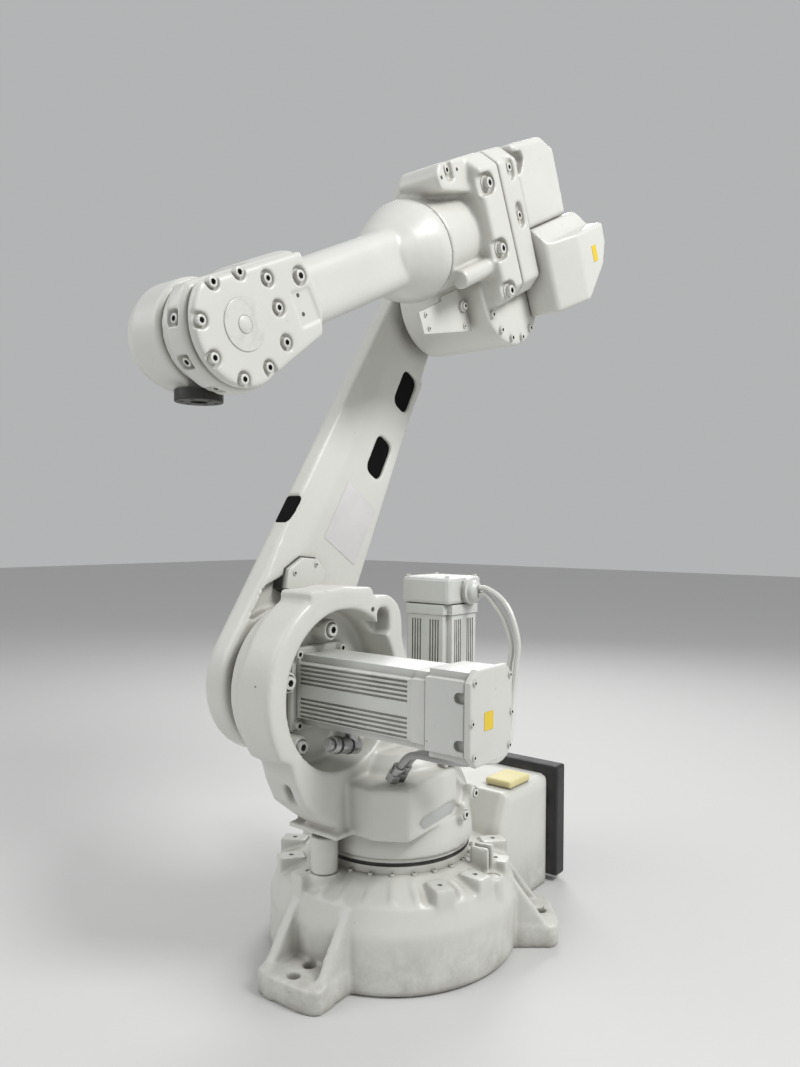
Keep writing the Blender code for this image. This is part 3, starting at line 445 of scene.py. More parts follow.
class Shape:
    """Solids collected into one mesh, each placed by the frame that the shape has at the time."""

    def __init__(self, frame=BASE):
        self.bm = bmesh.new()
        self.frame = frame

    def take(self, bm, place=BASE):
        """Add a solid at its place in the frame."""
        bmesh.ops.transform(bm, matrix=self.frame @ place, verts=bm.verts)
        bmesh.ops.recalc_face_normals(bm, faces=bm.faces)
        mesh = bpy.data.meshes.new("solid")
        bm.to_mesh(mesh)
        bm.free()
        self.bm.from_mesh(mesh)
        bpy.data.meshes.remove(mesh)

    def block(self, low, high, bevel=0.0, segments=3):
        """Box between two corners."""
        low, high = Vector(low), Vector(high)
        bm = bmesh.new()
        bmesh.ops.create_cube(bm, size=1.0)
        bmesh.ops.scale(bm, vec=high - low, verts=bm.verts)
        if bevel:
            round_edges(bm, bm.edges[:], bevel, segments)
        self.take(bm, Matrix.Translation((low + high) / 2))

    def rod(self, start, end, radius, bevel=0.0, steps=32):
        """Round bar between two points."""
        start, end = Vector(start), Vector(end)
        bm = bmesh.new()
        bmesh.ops.create_cone(bm, cap_ends=True, segments=steps, radius1=radius, radius2=radius,
                              depth=(end - start).length)
        if bevel:
            rims = [edge for edge in bm.edges
                    if abs(edge.verts[0].co.z - edge.verts[1].co.z) < 1e-6]
            round_edges(bm, rims, bevel)
        self.take(bm, Matrix.Translation((start + end) / 2) @ facing(end - start))

    def loft(self, rings, bevel=0.0):
        """Solid through closed rings of points, each ring with the same count."""
        bm = bmesh.new()
        rings = [[bm.verts.new(point) for point in ring] for ring in rings]
        bm.faces.new(rings[0])
        bm.faces.new(rings[-1][::-1])
        for one, two in zip(rings, rings[1:]):
            for i in range(len(one)):
                k = (i + 1) % len(one)
                bm.faces.new((one[i], two[i], two[k], one[k]))
        bmesh.ops.recalc_face_normals(bm, faces=bm.faces)
        if bevel:
            rims = [edge for edge in bm.edges
                    if (edge.verts[0] in rings[0]) == (edge.verts[1] in rings[0])]
            round_edges(bm, rims, bevel)
        self.take(bm)

    def prism(self, outline, low, high, axis="Y", bevel=0.0):
        """Flat outline with thickness: (x, z) pairs for axis Y, (x, y) for Z and (y, z) for X."""
        def spot(pair, depth):
            first, second = pair
            return {"Y": (first, depth, second), "Z": (first, second, depth),
                    "X": (depth, first, second)}[axis]
        self.loft([[spot(pair, depth) for pair in outline] for depth in (low, high)], bevel)

    def screw(self, place, normal, radius, height=0.006, sides=24):
        """Cap screw with a hexagon socket, whose inside takes the second material."""
        socket, depth, edge = radius * 0.58, height * 0.7, radius * 0.14
        sixth = math.pi / 3
        hexagon = [socket * math.cos(sixth / 2) / math.cos(math.tau * i / sides % sixth - sixth / 2)
                   for i in range(sides)]
        levels = [([radius] * sides, -SCREW_ROOT), ([radius] * sides, height - edge),
                  ([radius - edge * 0.3] * sides, height - edge * 0.3),
                  ([radius - edge] * sides, height), (hexagon, height), (hexagon, height - depth)]
        bm = bmesh.new()
        rings = [[bm.verts.new((*polar(reach, 360 * i / sides), level))
                  for i, reach in enumerate(reaches)] for reaches, level in levels]
        for one, two in zip(rings, rings[1:]):
            for i in range(sides):
                k = (i + 1) % sides
                bm.faces.new((one[i], one[k], two[k], two[i])).material_index = int(two is rings[-1])
        bm.faces.new(rings[0][::-1])
        bm.faces.new(rings[-1]).material_index = 1
        self.take(bm, Matrix.Translation(place) @ facing(normal))

    def lathe(self, profile, centre, axis, steps=72, dark_bands=()):
        """Solid of revolution from (radius, height) pairs, bottom to top."""
        bm = bmesh.new()
        rings = []
        for radius, height in profile:
            if radius:
                rings.append([bm.verts.new((*polar(radius, 360 * i / steps), height))
                              for i in range(steps)])
            else:
                rings.append([bm.verts.new((0, 0, height))] * steps)
        for band, (one, two) in enumerate(zip(rings, rings[1:])):
            for i in range(steps):
                k = (i + 1) % steps
                corners = list(dict.fromkeys((one[i], one[k], two[k], two[i])))
                bm.faces.new(corners).material_index = int(band in dark_bands)
        self.take(bm, Matrix.Translation(centre) @ facing(axis))

    def mesh(self, name):
        mesh = bpy.data.meshes.new(name)
        self.bm.to_mesh(mesh)
        self.bm.free()
        return mesh

    def piece(self, name, body, *finishes, sharp=35.0):
        """Finished piece that rides on a body."""
        mesh = self.mesh(name)
        for finish in finishes:
            mesh.materials.append(MATERIALS[finish])
        smooth(mesh, sharp)
        return mounted(linked(name, mesh), body)


def mounted(obj, body):
    """Piece on its body."""
    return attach(obj, body)


def final_mesh(obj):
    """Mesh of an object as its modifiers or its curve make it."""
    bpy.context.view_layer.update()
    depsgraph = bpy.context.evaluated_depsgraph_get()
    return bpy.data.meshes.new_from_object(obj.evaluated_get(depsgraph))


def applied(obj):
    """Turn an object's modifiers into its mesh."""
    mesh = final_mesh(obj)
    obj.modifiers.clear()
    old, obj.data = obj.data, mesh
    bpy.data.meshes.remove(old)


def subtract(obj, shape):
    """Cut a shape out of an object. The solids in the shape must not overlap each other."""
    tool = linked("tool", shape.mesh("tool"))
    cut = obj.modifiers.new("cut", "BOOLEAN")
    cut.operation = "DIFFERENCE"
    cut.solver = "EXACT"
    cut.object = tool
    applied(obj)
    bpy.data.objects.remove(tool, do_unlink=True)


def cut_piece(solids, cuts, name, node, body, finish, sharp=35.0):
    """Piece with shapes cut out of it, in place of a CAD node."""
    piece = solids.piece(name, body, finish)
    subtract(piece, cuts)
    smooth(piece.data, sharp)
    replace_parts(piece, node)


def hose(name, points, radius, body, finish):
    """Cable with both its ends on one body."""
    curve = bpy.data.curves.new(name, "CURVE")
    curve.dimensions = "3D"
    curve.bevel_depth = radius
    curve.bevel_resolution = 4
    curve.use_fill_caps = True
    path = tube_path(points)
    spline = curve.splines.new("POLY")
    spline.points.add(len(path) - 1)
    for point, spot in zip(spline.points, path):
        point.co = (*spot, 1)
    route = linked(name, curve)
    mesh = final_mesh(route)
    bpy.data.objects.remove(route, do_unlink=True)
    mesh.materials.append(MATERIALS[finish])
    mesh.shade_smooth()
    return mounted(linked(name, mesh), body)


# Castings: the CAD solid with its details, remeshed so that every corner gets a cast fillet

CAST_SHARP = 42.0

# Voxel sizes, finer where a casting's details are smaller
ARM_VOXEL = 0.0036
BODY_VOXEL = 0.0034
PLATE_VOXEL = 0.0032
WRIST_VOXEL = 0.0026
COVER_VOXEL = 0.0022


def remesh(obj, voxel):
    skin = obj.modifiers.new("skin", "REMESH")
    skin.mode = "VOXEL"
    skin.voxel_size = voxel
    applied(obj)


def cast(node, body, finish, voxel, rounds, add=None, pockets=(), holes=None):
    """Casting's skin: details joined, pockets sunk, corners rounded, then holes drilled."""
    bm = bmesh.new()
    bm.from_mesh(NODES[node].data)
    if add:
        details = add.mesh("details")
        bm.from_mesh(details)
        bpy.data.meshes.remove(details)
    mesh = bpy.data.meshes.new(node + "_skin")
    bm.to_mesh(mesh)
    bm.free()
    obj = linked(node + "_skin", mesh)
    remesh(obj, voxel)
    for shape in pockets:
        subtract(obj, shape)
    if pockets:
        remesh(obj, voxel)
    soften = obj.modifiers.new("soften", "SMOOTH")
    soften.factor = 0.5
    soften.iterations = rounds
    applied(obj)
    if holes:
        subtract(obj, holes)
    obj.data.materials.clear()
    obj.data.materials.append(MATERIALS[finish])
    for face in obj.data.polygons:
        face.material_index = 0
    smooth(obj.data, CAST_SHARP)
    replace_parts(obj, node)
    mounted(obj, body)


# Base and turret

BASE_RIB = [(0.135, 0.11), (0.214, 0.11), (0.214, 0.147), (0.200, 0.155), (0.152, 0.167),
            (0.135, 0.167)]     # (radius, height)
BASE_RIB_HALF = 0.006
BASE_RIB_ANGLES = (*range(2, 60, 12), *range(-134, -94, 12), 73, 98, 124)
PAD_HOLE_ANGLES = (-62, -36, -12, 62, 85, 111, 139, -88, -114, -139)
PAD_HOLE_REACH = 0.198
PAD_HOLE_FLOOR = 0.150
SMALL_HOLE = 0.0045                  # radius of the holes in the base's pads
CLAMP_ANGLES = (98, 105)             # of the clamp's two upright tabs
STUD_X, STUD_Y = -0.020, 0.212       # round post beside the ring
STUD_TOP = 0.156

RING_BOSSES = ((12, 0.101), (93, 0.101), (176, 0.104), (230, 0.115), (306, 0.115))     # angle, reach
RING_BOSS_RADIUS = 0.0195
RING_BOSS_TOP = -0.010
RING_BOSS_SEAT = -0.015
EYELETS = ((-0.043, 0.288), (-0.012, 0.256))     # (x, z) on the turret's near side
EYELET_TOP = 0.158
EYELET_SEAT = 0.154
PLATE_FRAME = joint_frame((0.049, 0, 0.266), 4.0)


def make_base_skin():
    add, holes = Shape(), Shape()
    for angle in BASE_RIB_ANGLES:
        add.frame = about_z(angle)
        add.prism(BASE_RIB, -BASE_RIB_HALF, BASE_RIB_HALF)
    for angle in CLAMP_ANGLES:
        add.frame = about_z(angle)
        add.block((0.163, -0.005, 0.12), (0.199, 0.005, 0.198))
    add.frame = BASE
    add.rod((STUD_X, STUD_Y, 0.09), (STUD_X, STUD_Y, STUD_TOP), 0.018)
    for angle in PAD_HOLE_ANGLES:
        x, y = polar(PAD_HOLE_REACH, angle)
        holes.rod((x, y, PAD_HOLE_FLOOR), (x, y, PAD_HOLE_FLOOR + 0.05), SMALL_HOLE, steps=20)
    holes.rod((STUD_X, STUD_Y, STUD_TOP - 0.0015), (STUD_X, STUD_Y, STUD_TOP + 0.014), 0.0125)
    cast("base_casting", "base", "cast_white", BODY_VOXEL, 5, add, (), holes)


def make_turret_skin():
    axis = JOINTS["axis_2"]
    bosses = []
    for angle, reach in RING_BOSSES:
        u, v = polar(reach, angle)
        bosses.append((axis.x + u, axis.z + v))

    add, pockets, holes = Shape(), Shape(), Shape()
    add.block((0.125, -0.080, 0.2408), (0.206, 0.038, 0.250))
    add.prism([(-0.053, 0.284), (-0.033, 0.292), (-0.002, 0.259), (-0.021, 0.250)], 0.12, 0.150)
    pockets.prism(obround((0.001, 0.3275), 0.030, 0.0085), 0.262, 0.330, "X")
    pockets.frame = PLATE_FRAME
    pockets.prism([(-0.062, -0.002), (-0.048, -0.014), (0.046, -0.014), (0.062, 0.004),
                   (0.046, 0.014), (-0.046, 0.014)], 0.1365, 0.16)
    holes.rod((0.104, -0.02, 0.630), (0.104, 0.05, 0.630), 0.0048, steps=20)
    screws = Shape()
    for x, z in bosses:
        add.rod((x, RING_BOSS_TOP - 0.050, z), (x, RING_BOSS_TOP, z), RING_BOSS_RADIUS)
        holes.rod((x, RING_BOSS_SEAT, z), (x, RING_BOSS_TOP + 0.02, z), 0.0142)
        screws.screw((x, RING_BOSS_SEAT - OVERLAP, z), (0, 1, 0), 0.0112, 0.010)
    for x, z in EYELETS:
        add.rod((x, 0.10, z), (x, EYELET_TOP, z), 0.0135)
        holes.rod((x, EYELET_SEAT, z), (x, EYELET_TOP + 0.012, z), 0.009)
        screws.screw((x, EYELET_SEAT - OVERLAP, z), (0, 1, 0), 0.0075, 0.006)
    cast("turret_casting", "turret", "cast_white", BODY_VOXEL, 5, add, (pockets,), holes)
    screws.piece("turret_screws", "turret", "smooth_white", "dark")


def make_turret_plate():
    plate = Shape(PLATE_FRAME)
    plate.prism([(-0.052, -0.002), (-0.042, -0.0105), (0.040, -0.0105), (0.052, 0.004),
                 (0.040, 0.0105), (-0.040, 0.0105)], 0.1360, 0.1378, bevel=0.0004)
    plate.piece("turret_plate", "turret", "grey_plate")


# Lower arm

ARM_HUB_RADIUS = 0.134
ARM_TOP_RADIUS = 0.074
ARM_LENGTH = 0.900
ARM_LOW, ARM_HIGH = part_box("lower_arm_casting")
ARM_NEAR, ARM_FAR = ARM_HIGH.y, ARM_LOW.y
ARM_SLANT = math.asin((ARM_HUB_RADIUS - ARM_TOP_RADIUS) / ARM_LENGTH)

# Frame on the arm's front face, with +X out of it and +Z up along it
ARM_FRONT = (LOWER @ Matrix.Translation((ARM_HUB_RADIUS / math.cos(ARM_SLANT), 0, 0))
             @ Matrix.Rotation(-ARM_SLANT, 4, "Y"))

CABLE_WINDOWS = {"upper_cable_window": (-0.0455, 0.694), "lower_cable_window": (-0.041, 0.517)}
FRONT_BEVEL = ((0.150, 0.012, 0.004), (0.235, 0.056, 0.011), (0.300, 0.062, 0.014),
               (0.600, 0.058, 0.017), (0.950, 0.040, 0.019))     # height, reach back, depth
FRONT_WINDOW = rounded_box((ARM_NEAR - 0.034, 0.303), 0.019, 0.031, 0.005)
HUB_POCKET_DEPTH = 0.022
FAR_POCKET_DEPTH = 0.007
WINDOW_DEPTH = 0.013
HUB_POCKET = [(0.121, 0.060), (0.117, 0.135), (0.082, 0.176), (0.020, 0.165), (0.035, 0.135),
              (0.088, 0.100)]
HEX_COVER = [(0.079, 0.150), (0.089, 0.184), (0.067, 0.220), (0.031, 0.236), (-0.002, 0.224),
             (-0.006, 0.175), (0.010, 0.150)]
HEX_COVER_MIDDLE = Vector((0.038, 0.190))
HEX_COVER_SCREWS = ((0.074, 0.184), (0.031, 0.224), (0.006, 0.178))
ARM_LABEL = [(0.019, 0.421), (-0.083, 0.409), (-0.080, 0.279), (0.026, 0.286)]

# Round covers on the far side: name, frame, radius and count of screws
ROUND_COVERS = (("axis_2_cover", LOWER, 0.090, 12),
                ("axis_3_cover", joint_frame(JOINTS["axis_3"], 0), 0.052, 8))


def make_lower_arm_skin():
    pockets = Shape(LOWER)
    pockets.prism(HUB_POCKET, ARM_NEAR - HUB_POCKET_DEPTH, ARM_NEAR + 0.02)
    pockets.prism(arc((0, 0.23), 0.078, 180, 360, 14) + arc((0, 0.80), 0.042, 0, 180, 14),
                  ARM_FAR - 0.02, ARM_FAR + FAR_POCKET_DEPTH)
    bevel = Shape(ARM_FRONT)
    bevel.loft([[(-reach, ARM_NEAR + 0.0005, z), (0.001, ARM_NEAR - depth, z),
                 (0.05, ARM_NEAR - depth, z), (0.05, ARM_NEAR + 0.03, z),
                 (-reach, ARM_NEAR + 0.03, z)] for z, reach, depth in FRONT_BEVEL])
    slot = Shape(ARM_FRONT)
    slot.prism(FRONT_WINDOW, -0.012, 0.03, "X")
    fill, openings = Shape(LOWER), Shape(LOWER)
    for x, z in CABLE_WINDOWS.values():
        fill.block((x - 0.043, ARM_NEAR - 0.016, z - 0.055), (x + 0.038, ARM_NEAR - 0.0004, z + 0.055))
        openings.prism(rounded_box((x, z), 0.0255, 0.0455, 0.017), ARM_NEAR - WINDOW_DEPTH,
                       ARM_NEAR + 0.02)
    cast("lower_arm_casting", "lower_arm", "cast_white", ARM_VOXEL, 5, fill,
         (pockets, bevel, slot, openings))


def make_cable_windows():
    for name, (x, z) in CABLE_WINDOWS.items():
        plug = Shape(LOWER)
        plug.prism(rounded_box((x, z), 0.026, 0.046, 0.0175), ARM_NEAR - WINDOW_DEPTH - 0.001,
                   ARM_NEAR - 0.006)
        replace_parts(plug.piece(name + "_plug", "lower_arm", "deep_black"), name)
    plug = Shape(ARM_FRONT)
    plug.prism(FRONT_WINDOW, -0.016, -0.004, "X", bevel=0.001)
    plug.piece("front_cable_window", "lower_arm", "deep_black")


def make_lower_arm_label():
    label = Shape(LOWER)
    label.prism(ARM_LABEL, ARM_NEAR - 0.001, ARM_NEAR + 0.0008, bevel=0.0003)
    label.piece("lower_arm_label", "lower_arm", "label_white")


def make_hex_cover():
    # Dark rim round the hex cover, a little wider than it and a little proud of the arm
    dark_rim = Shape(LOWER)
    outline = [tuple(HEX_COVER_MIDDLE + (Vector(point) - HEX_COVER_MIDDLE) * 1.07)
               for point in HEX_COVER]
    dark_rim.prism(outline, ARM_NEAR - 0.021, ARM_NEAR + 0.0015)
    dark_rim.piece("lower_arm_dark_rim", "lower_arm", "dark")
    cover = Shape(LOWER)
    cover.prism(HEX_COVER, ARM_NEAR - 0.020, ARM_NEAR + 0.012, bevel=0.0030)
    for x, z in HEX_COVER_SCREWS:
        cover.screw((x, ARM_NEAR + 0.0117, z), (0, 1, 0), 0.0042, 0.003)
    cover.piece("lower_arm_cover", "lower_arm", "cast_white", "dark")


def make_round_covers():
    for name, place, reach, count in ROUND_COVERS:
        cap = Shape(place)
        cap.lathe([(0, -0.001), (reach, -0.001), (reach, 0.0045), (reach - 0.0015, 0.006),
                   (reach * 0.62, 0.006), (reach * 0.60, 0.0045), (reach * 0.2, 0.0045),
                   (reach * 0.19, 0.006), (0, 0.006)], (0, ARM_FAR, 0), (0, -1, 0))
        for i in range(count):
            x, z = polar(reach * 0.82, 360 * (i + 0.5) / count)
            cap.screw((x, ARM_FAR - 0.0058, z), (0, -1, 0), reach * 0.055 + 0.0015, 0.004)
        cap.piece(name, "lower_arm", "cast_white", "dark")


# Arm house, in the forearm's frame

HOUSE_NEAR = 0.140
HOUSE_SCREWS = ((0.070, 0.213), (0.074, 0.090), (0.077, 0.008))
HOUSE_SEAT = HOUSE_NEAR - 0.011
ADAPTER_SCREWS = ((-0.024, 0.229), (-0.024, 0.136))
ADAPTER_SEAT = HOUSE_NEAR - 0.010
EAR_HOLES = ((0.190, 0.246), (0.132, 0.252))
BRACKET_SCREWS = ((0.142, -0.034), (0.262, -0.004), (0.262, 0.022))
GEARBOX_SCREW_REACH = 0.103
GEARBOX_NEAR = 0.0948


def make_house_skin():
    add, pockets, holes = Shape(UPPER), Shape(UPPER), Shape(UPPER)
    add.rod((0.075, 0.106, 0.064), (0.198, 0.106, 0.064), 0.0185)
    for x, z in HOUSE_SCREWS:
        outline = arc((x, z), 0.020, 90, 270, 14) + [(x + 0.06, z - 0.020), (x + 0.06, z + 0.020)]
        pockets.prism(outline, HOUSE_SEAT, HOUSE_NEAR + 0.02)
    pockets.prism([(0.148, 0.236), (0.172, 0.236), (0.176, 0.30), (0.144, 0.30)], 0.104, 0.13)
    for x, z in EAR_HOLES:
        holes.rod((x, 0.10, z), (x, 0.13, z), 0.0036, steps=20)
    cast("arm_house_casting", "arm_house", "cast_white", BODY_VOXEL, 6, add, (pockets,), holes)


def make_house_covers():
    pockets = Shape(UPPER)
    for x, z in ADAPTER_SCREWS:
        pockets.prism(obround((x, z), 0.024, 0.0135), ADAPTER_SEAT, HOUSE_NEAR + 0.02)
    cast("adapter_plate", "arm_house", "cast_white", PLATE_VOXEL, 3, None, (pockets,))
    pockets = Shape(UPPER)
    pockets.prism([(-0.050, 0.214), (-0.070, 0.210), (-0.094, 0.236), (-0.088, 0.252),
                   (-0.050, 0.254)], 0.119, 0.16)
    cast("rear_motor_cover", "arm_house", "smooth_white", BODY_VOXEL, 8, None, (pockets,))
    cast("side_motor_cover", "arm_house", "smooth_white", BODY_VOXEL, 8)


def make_house_screws():
    out = (0, 1, 0)
    screws = Shape(UPPER)
    for x, z in HOUSE_SCREWS:
        screws.rod((x, HOUSE_SEAT - 0.001, z), (x, HOUSE_SEAT + 0.002, z), 0.0155, bevel=0.0006)
        screws.screw((x, HOUSE_SEAT + 0.002 - OVERLAP, z), out, 0.0105, 0.010)
    for x, z in ADAPTER_SCREWS:
        screws.screw((x, ADAPTER_SEAT - OVERLAP, z), out, 0.0085, 0.008)
    screws.screw((0.160, 0.1035, 0.256), out, 0.0075, 0.007)
    screws.screw((-0.072, 0.1185, 0.234), out, 0.0068, 0.006)
    for angle in range(200, 345, 24):
        x, z = polar(GEARBOX_SCREW_REACH, angle)
        screws.screw((x, GEARBOX_NEAR, z), out, 0.0065, 0.006)
    for x, z in BRACKET_SCREWS:
        screws.screw((x, 0.0518, z), out, 0.0042, 0.003)
    screws.rod((0.134, 0.0515, 0.004), (0.134, 0.058, 0.004), 0.0105, bevel=0.0012)
    screws.screw((0.134, 0.0575, 0.004), out, 0.0068, 0.005)
    screws.piece("house_screws", "arm_house", "smooth_white", "dark")


def make_side_cover_label():
    label = Shape(UPPER)
    label.block((-0.214, 0.1995, -0.008), (-0.192, 0.2008, 0.026), 0.0003, 1)
    label.piece("side_cover_label", "arm_house", "label_yellow")


# Wrist, in the forearm's frame

WRIST_NEAR = 0.118
WRIST_CENTRE = Vector((FOREARM_LENGTH, ELBOW_OFFSET))
OUTER_BOLTS = ((0.798, 0.203), (0.747, 0.204), (0.751, 0.070), (0.803, 0.070), (0.840, 0.112),
               (0.839, 0.163))
INNER_BOLTS = ((0.699, 0.184), (0.696, 0.141), (0.703, 0.092))
WRIST_EYE = (0.634, 0.172)
WRIST_EYE_HOLES = ((0.648, 0.147), (0.649, 0.119))
RIM_ANGLES = (25, -14, -52, -90)     # of the housing's pockets, each with a screw
RIM_REACH = 0.105
BOLT_SEAT = WRIST_NEAR - 0.0065


def make_wrist_housing():
    pockets = Shape(UPPER)
    for angle in RIM_ANGLES:
        out = Vector(polar(1, angle))
        side = Vector((-out.y, out.x)) * 0.011
        outer = WRIST_CENTRE + out * RIM_REACH
        inner = outer - out * 0.023
        corners = (outer + side, outer - side, inner - side, inner + side)
        pockets.prism([tuple(corner) for corner in corners], 0.066, 0.0905)
    cast("wrist_housing", "forearm", "smooth_white", WRIST_VOXEL, 6, None, (pockets,))


def make_wrist_cover():
    pockets, holes = Shape(UPPER), Shape(UPPER)
    above = WRIST_NEAR + 0.02
    for x, z in INNER_BOLTS:
        pockets.rod((x, BOLT_SEAT, z), (x, above, z), 0.0125)
    for spot in OUTER_BOLTS:
        out = (Vector(spot) - WRIST_CENTRE).normalized()
        side = Vector((-out.y, out.x)) * 0.0115
        end = Vector(spot) + out * 0.04
        angle = math.degrees(math.atan2(out.y, out.x))
        outline = [tuple(end - side), tuple(end + side)]
        outline += arc(spot, 0.0115, angle + 90, angle + 270, 12)
        pockets.prism(outline, BOLT_SEAT, above)
    x, z = WRIST_EYE
    pockets.rod((x, WRIST_NEAR - 0.007, z), (x, above, z), 0.0145)
    pockets.prism([(0.622, 0.155), (0.664, 0.155), (0.664, 0.100), (0.616, 0.100)],
                  WRIST_NEAR - 0.0028, above)
    for x, z in WRIST_EYE_HOLES:
        holes.rod((x, WRIST_NEAR - 0.012, z), (x, WRIST_NEAR + 0.01, z), 0.0034, steps=20)
    cast("wrist_cover", "forearm", "smooth_white", COVER_VOXEL, 4, None, (pockets,), holes)


def make_wrist_screws():
    screws = Shape(UPPER)
    for x, z in OUTER_BOLTS + INNER_BOLTS:
        screws.screw((x, BOLT_SEAT - OVERLAP, z), (0, 1, 0), 0.0075, 0.0075)
    x, z = WRIST_EYE
    screws.rod((x, WRIST_NEAR - 0.0085, z), (x, WRIST_NEAR - 0.0055, z), 0.0118, bevel=0.0006)
    screws.screw((x, WRIST_NEAR - 0.0058, z), (0, 1, 0), 0.0088, 0.008)
    for angle in RIM_ANGLES:
        out = Vector(polar(1, angle))
        spot = WRIST_CENTRE + out * 0.0822
        screws.screw((spot.x, 0.0785, spot.y), (out.x, 0, out.y), 0.0072, 0.006)
    screws.piece("wrist_screws", "forearm", "smooth_white", "dark")


def make_wrist_disc():
    disc = Shape(UPPER)
    disc.lathe([(0, 0), (0.0365, 0), (0.0365, 0.0006), (0.0355, 0.0011), (0.0135, 0.0011),
                (0.0130, 0.0006), (0.0122, 0.0006), (0.0116, 0.0018), (0.0100, 0.0025),
                (0.0, 0.0031)], (FOREARM_LENGTH, WRIST_NEAR + 0.0003, ELBOW_OFFSET), (0, 1, 0), 64)
    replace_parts(disc.piece("wrist_disc", "forearm", "smooth_white", sharp=25.0), "wrist_cap")


def make_tool_flange():
    low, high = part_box("tool_flange")
    thickness = high.z - low.z
    face = Shape(TOOL)
    face.lathe([(0, 0), (0.035, 0), (0.035, thickness - 0.0008), (0.0342, thickness),
                (0.0130, thickness), (0.0125, thickness - 0.0005), (0.0125, thickness - 0.007),
                (0, thickness - 0.007)], (0.0820, 0.020, 0), (1, 0, 0), 64)
    holes = Shape(TOOL)
    for i in range(6):
        y, z = polar(0.0245, 60 * i)
        holes.rod((0.088, 0.020 + y, z), (0.12, 0.020 + y, z), 0.0033, steps=18)
    cut_piece(face, holes, "tool_flange_face", "tool_flange", "tool_flange", "black_steel", 30.0)


# Motors

SLOT_HALF = 0.0019                # half the height of one of motor 2's cooling slots
SLOT_PITCH = 0.0075
CABLE_RADIUS = 0.0062
PLUG_RISES = (0.020, -0.014)      # of motor 2's two side plugs, from its middle
GLANDS = (Vector((0.135, 0.120, 0.372)), Vector((0.112, 0.118, 0.370)))
GLAND_LEAN = Vector((0, 0.55, 0.83)).normalized()
ELBOW_AHEAD = Vector((0.97, 0, 0.22)).normalized()


def motor_profile(half, tall, notch, centre=(0, 0)):
    """Motor's section: a block whose four corners step back for the long screws."""
    points = []
    for u, v in ((1, 1), (-1, 1), (-1, -1), (1, -1)):
        corner = [(half, tall - notch), (half - notch * 0.9, tall - notch * 0.86),
                  (half - notch, tall)]
        if u * v < 0:
            corner.reverse()
        points += [(centre[0] + u * x, centre[1] + v * z) for x, z in corner]
    return points


def corner_signs():
    """Signs of a rectangle's four corners."""
    return [(u, v) for u in (-1, 1) for v in (-1, 1)]


class Motor2:
    """Motor 2's boxes, from its CAD nodes, with its length along +Y."""
    low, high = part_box("motor_2_body")
    cap_low, cap_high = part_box("motor_2_cap")
    x, z = (low.x + high.x) / 2, (low.z + high.z) / 2
    half, tall = (high.x - low.x) / 2, (high.z - low.z) / 2
    cap_half, cap_tall = (cap_high.x - cap_low.x) / 2, (cap_high.z - cap_low.z) / 2
    seam = cap_low.y + (cap_high.y - cap_low.y) * 0.30


def make_motor_2_shell():
    m = Motor2
    body, grooves = Shape(), Shape()
    body.prism(motor_profile(m.half, m.tall, 0.014, (m.x, m.z)), m.low.y, m.seam - 0.026, bevel=0.0015)
    body.prism(motor_profile(m.half, m.tall, 0.012, (m.x, m.z)), m.seam - 0.028, m.seam, bevel=0.001)
    for side, group in corner_signs():
        for i in range(5):
            x, z = m.x + side * m.half, m.z + group * 0.0285 + (i - 2) * SLOT_PITCH
            grooves.block((x - 0.004, m.low.y + 0.010, z - SLOT_HALF),
                          (x + 0.004, m.seam - 0.034, z + SLOT_HALF))
    cut_piece(body, grooves, "motor_2_shell", "motor_2_body", "turret", "motor_white")


def make_motor_2_cap():
    m = Motor2
    cap, scoops = Shape(), Shape()
    cap.prism(motor_profile(m.cap_half, m.cap_tall - 0.001, 0.012, (m.x, m.z)), m.seam + 0.0005,
              m.cap_high.y - 0.0002, bevel=0.003)
    for side in (-1, 1):
        for rise in (-0.040, 0.031):
            x = m.x + side * m.cap_half
            scoops.prism(obround((m.cap_high.y - 0.002, m.z + rise), 0.016, 0.0085, 90.0), x - 0.008,
                         x + 0.008, "X")
    cut_piece(cap, scoops, "motor_2_cap_shell", "motor_2_cap", "turret", "motor_white")


def make_motor_2_screws():
    m = Motor2
    plate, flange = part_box("motor_2_end_cover")[1].y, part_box("motor_2_flange")[1].y
    screws = Shape()
    for u in (-1, 1):
        for reach, rise in ((0.050, 0.055), (0.056, -0.004), (0.050, -0.055)):
            screws.screw((m.x + u * reach, plate - 0.0003, m.z + rise), (0, 1, 0), 0.0042, 0.0032)
    for u, v in corner_signs():
        x, z = m.x + u * 0.055, m.z + v * 0.062
        screws.rod((x, flange - 0.0005, z), (x, flange + 0.0015, z), 0.0095, bevel=0.0005)
        screws.screw((x, flange + 0.0013, z), (0, 1, 0), 0.0075, 0.0075)
    screws.piece("motor_2_screws", "turret", "smooth_white", "dark")
    label = Shape()
    label.block((m.x - 0.003, plate - 0.0004, m.z - 0.021), (m.x + 0.022, plate + 0.0006, m.z + 0.007),
                0.0002, 1)
    label.piece("motor_2_label", "turret", "label_yellow")


def stepped_plug(shape, start, direction, steps):
    """Plug from rods along a direction: start, end, radius, bevel and sides of each."""
    for low, high, radius, bevel, sides in steps:
        shape.rod(start + direction * low, start + direction * high, radius, bevel=bevel, steps=sides)


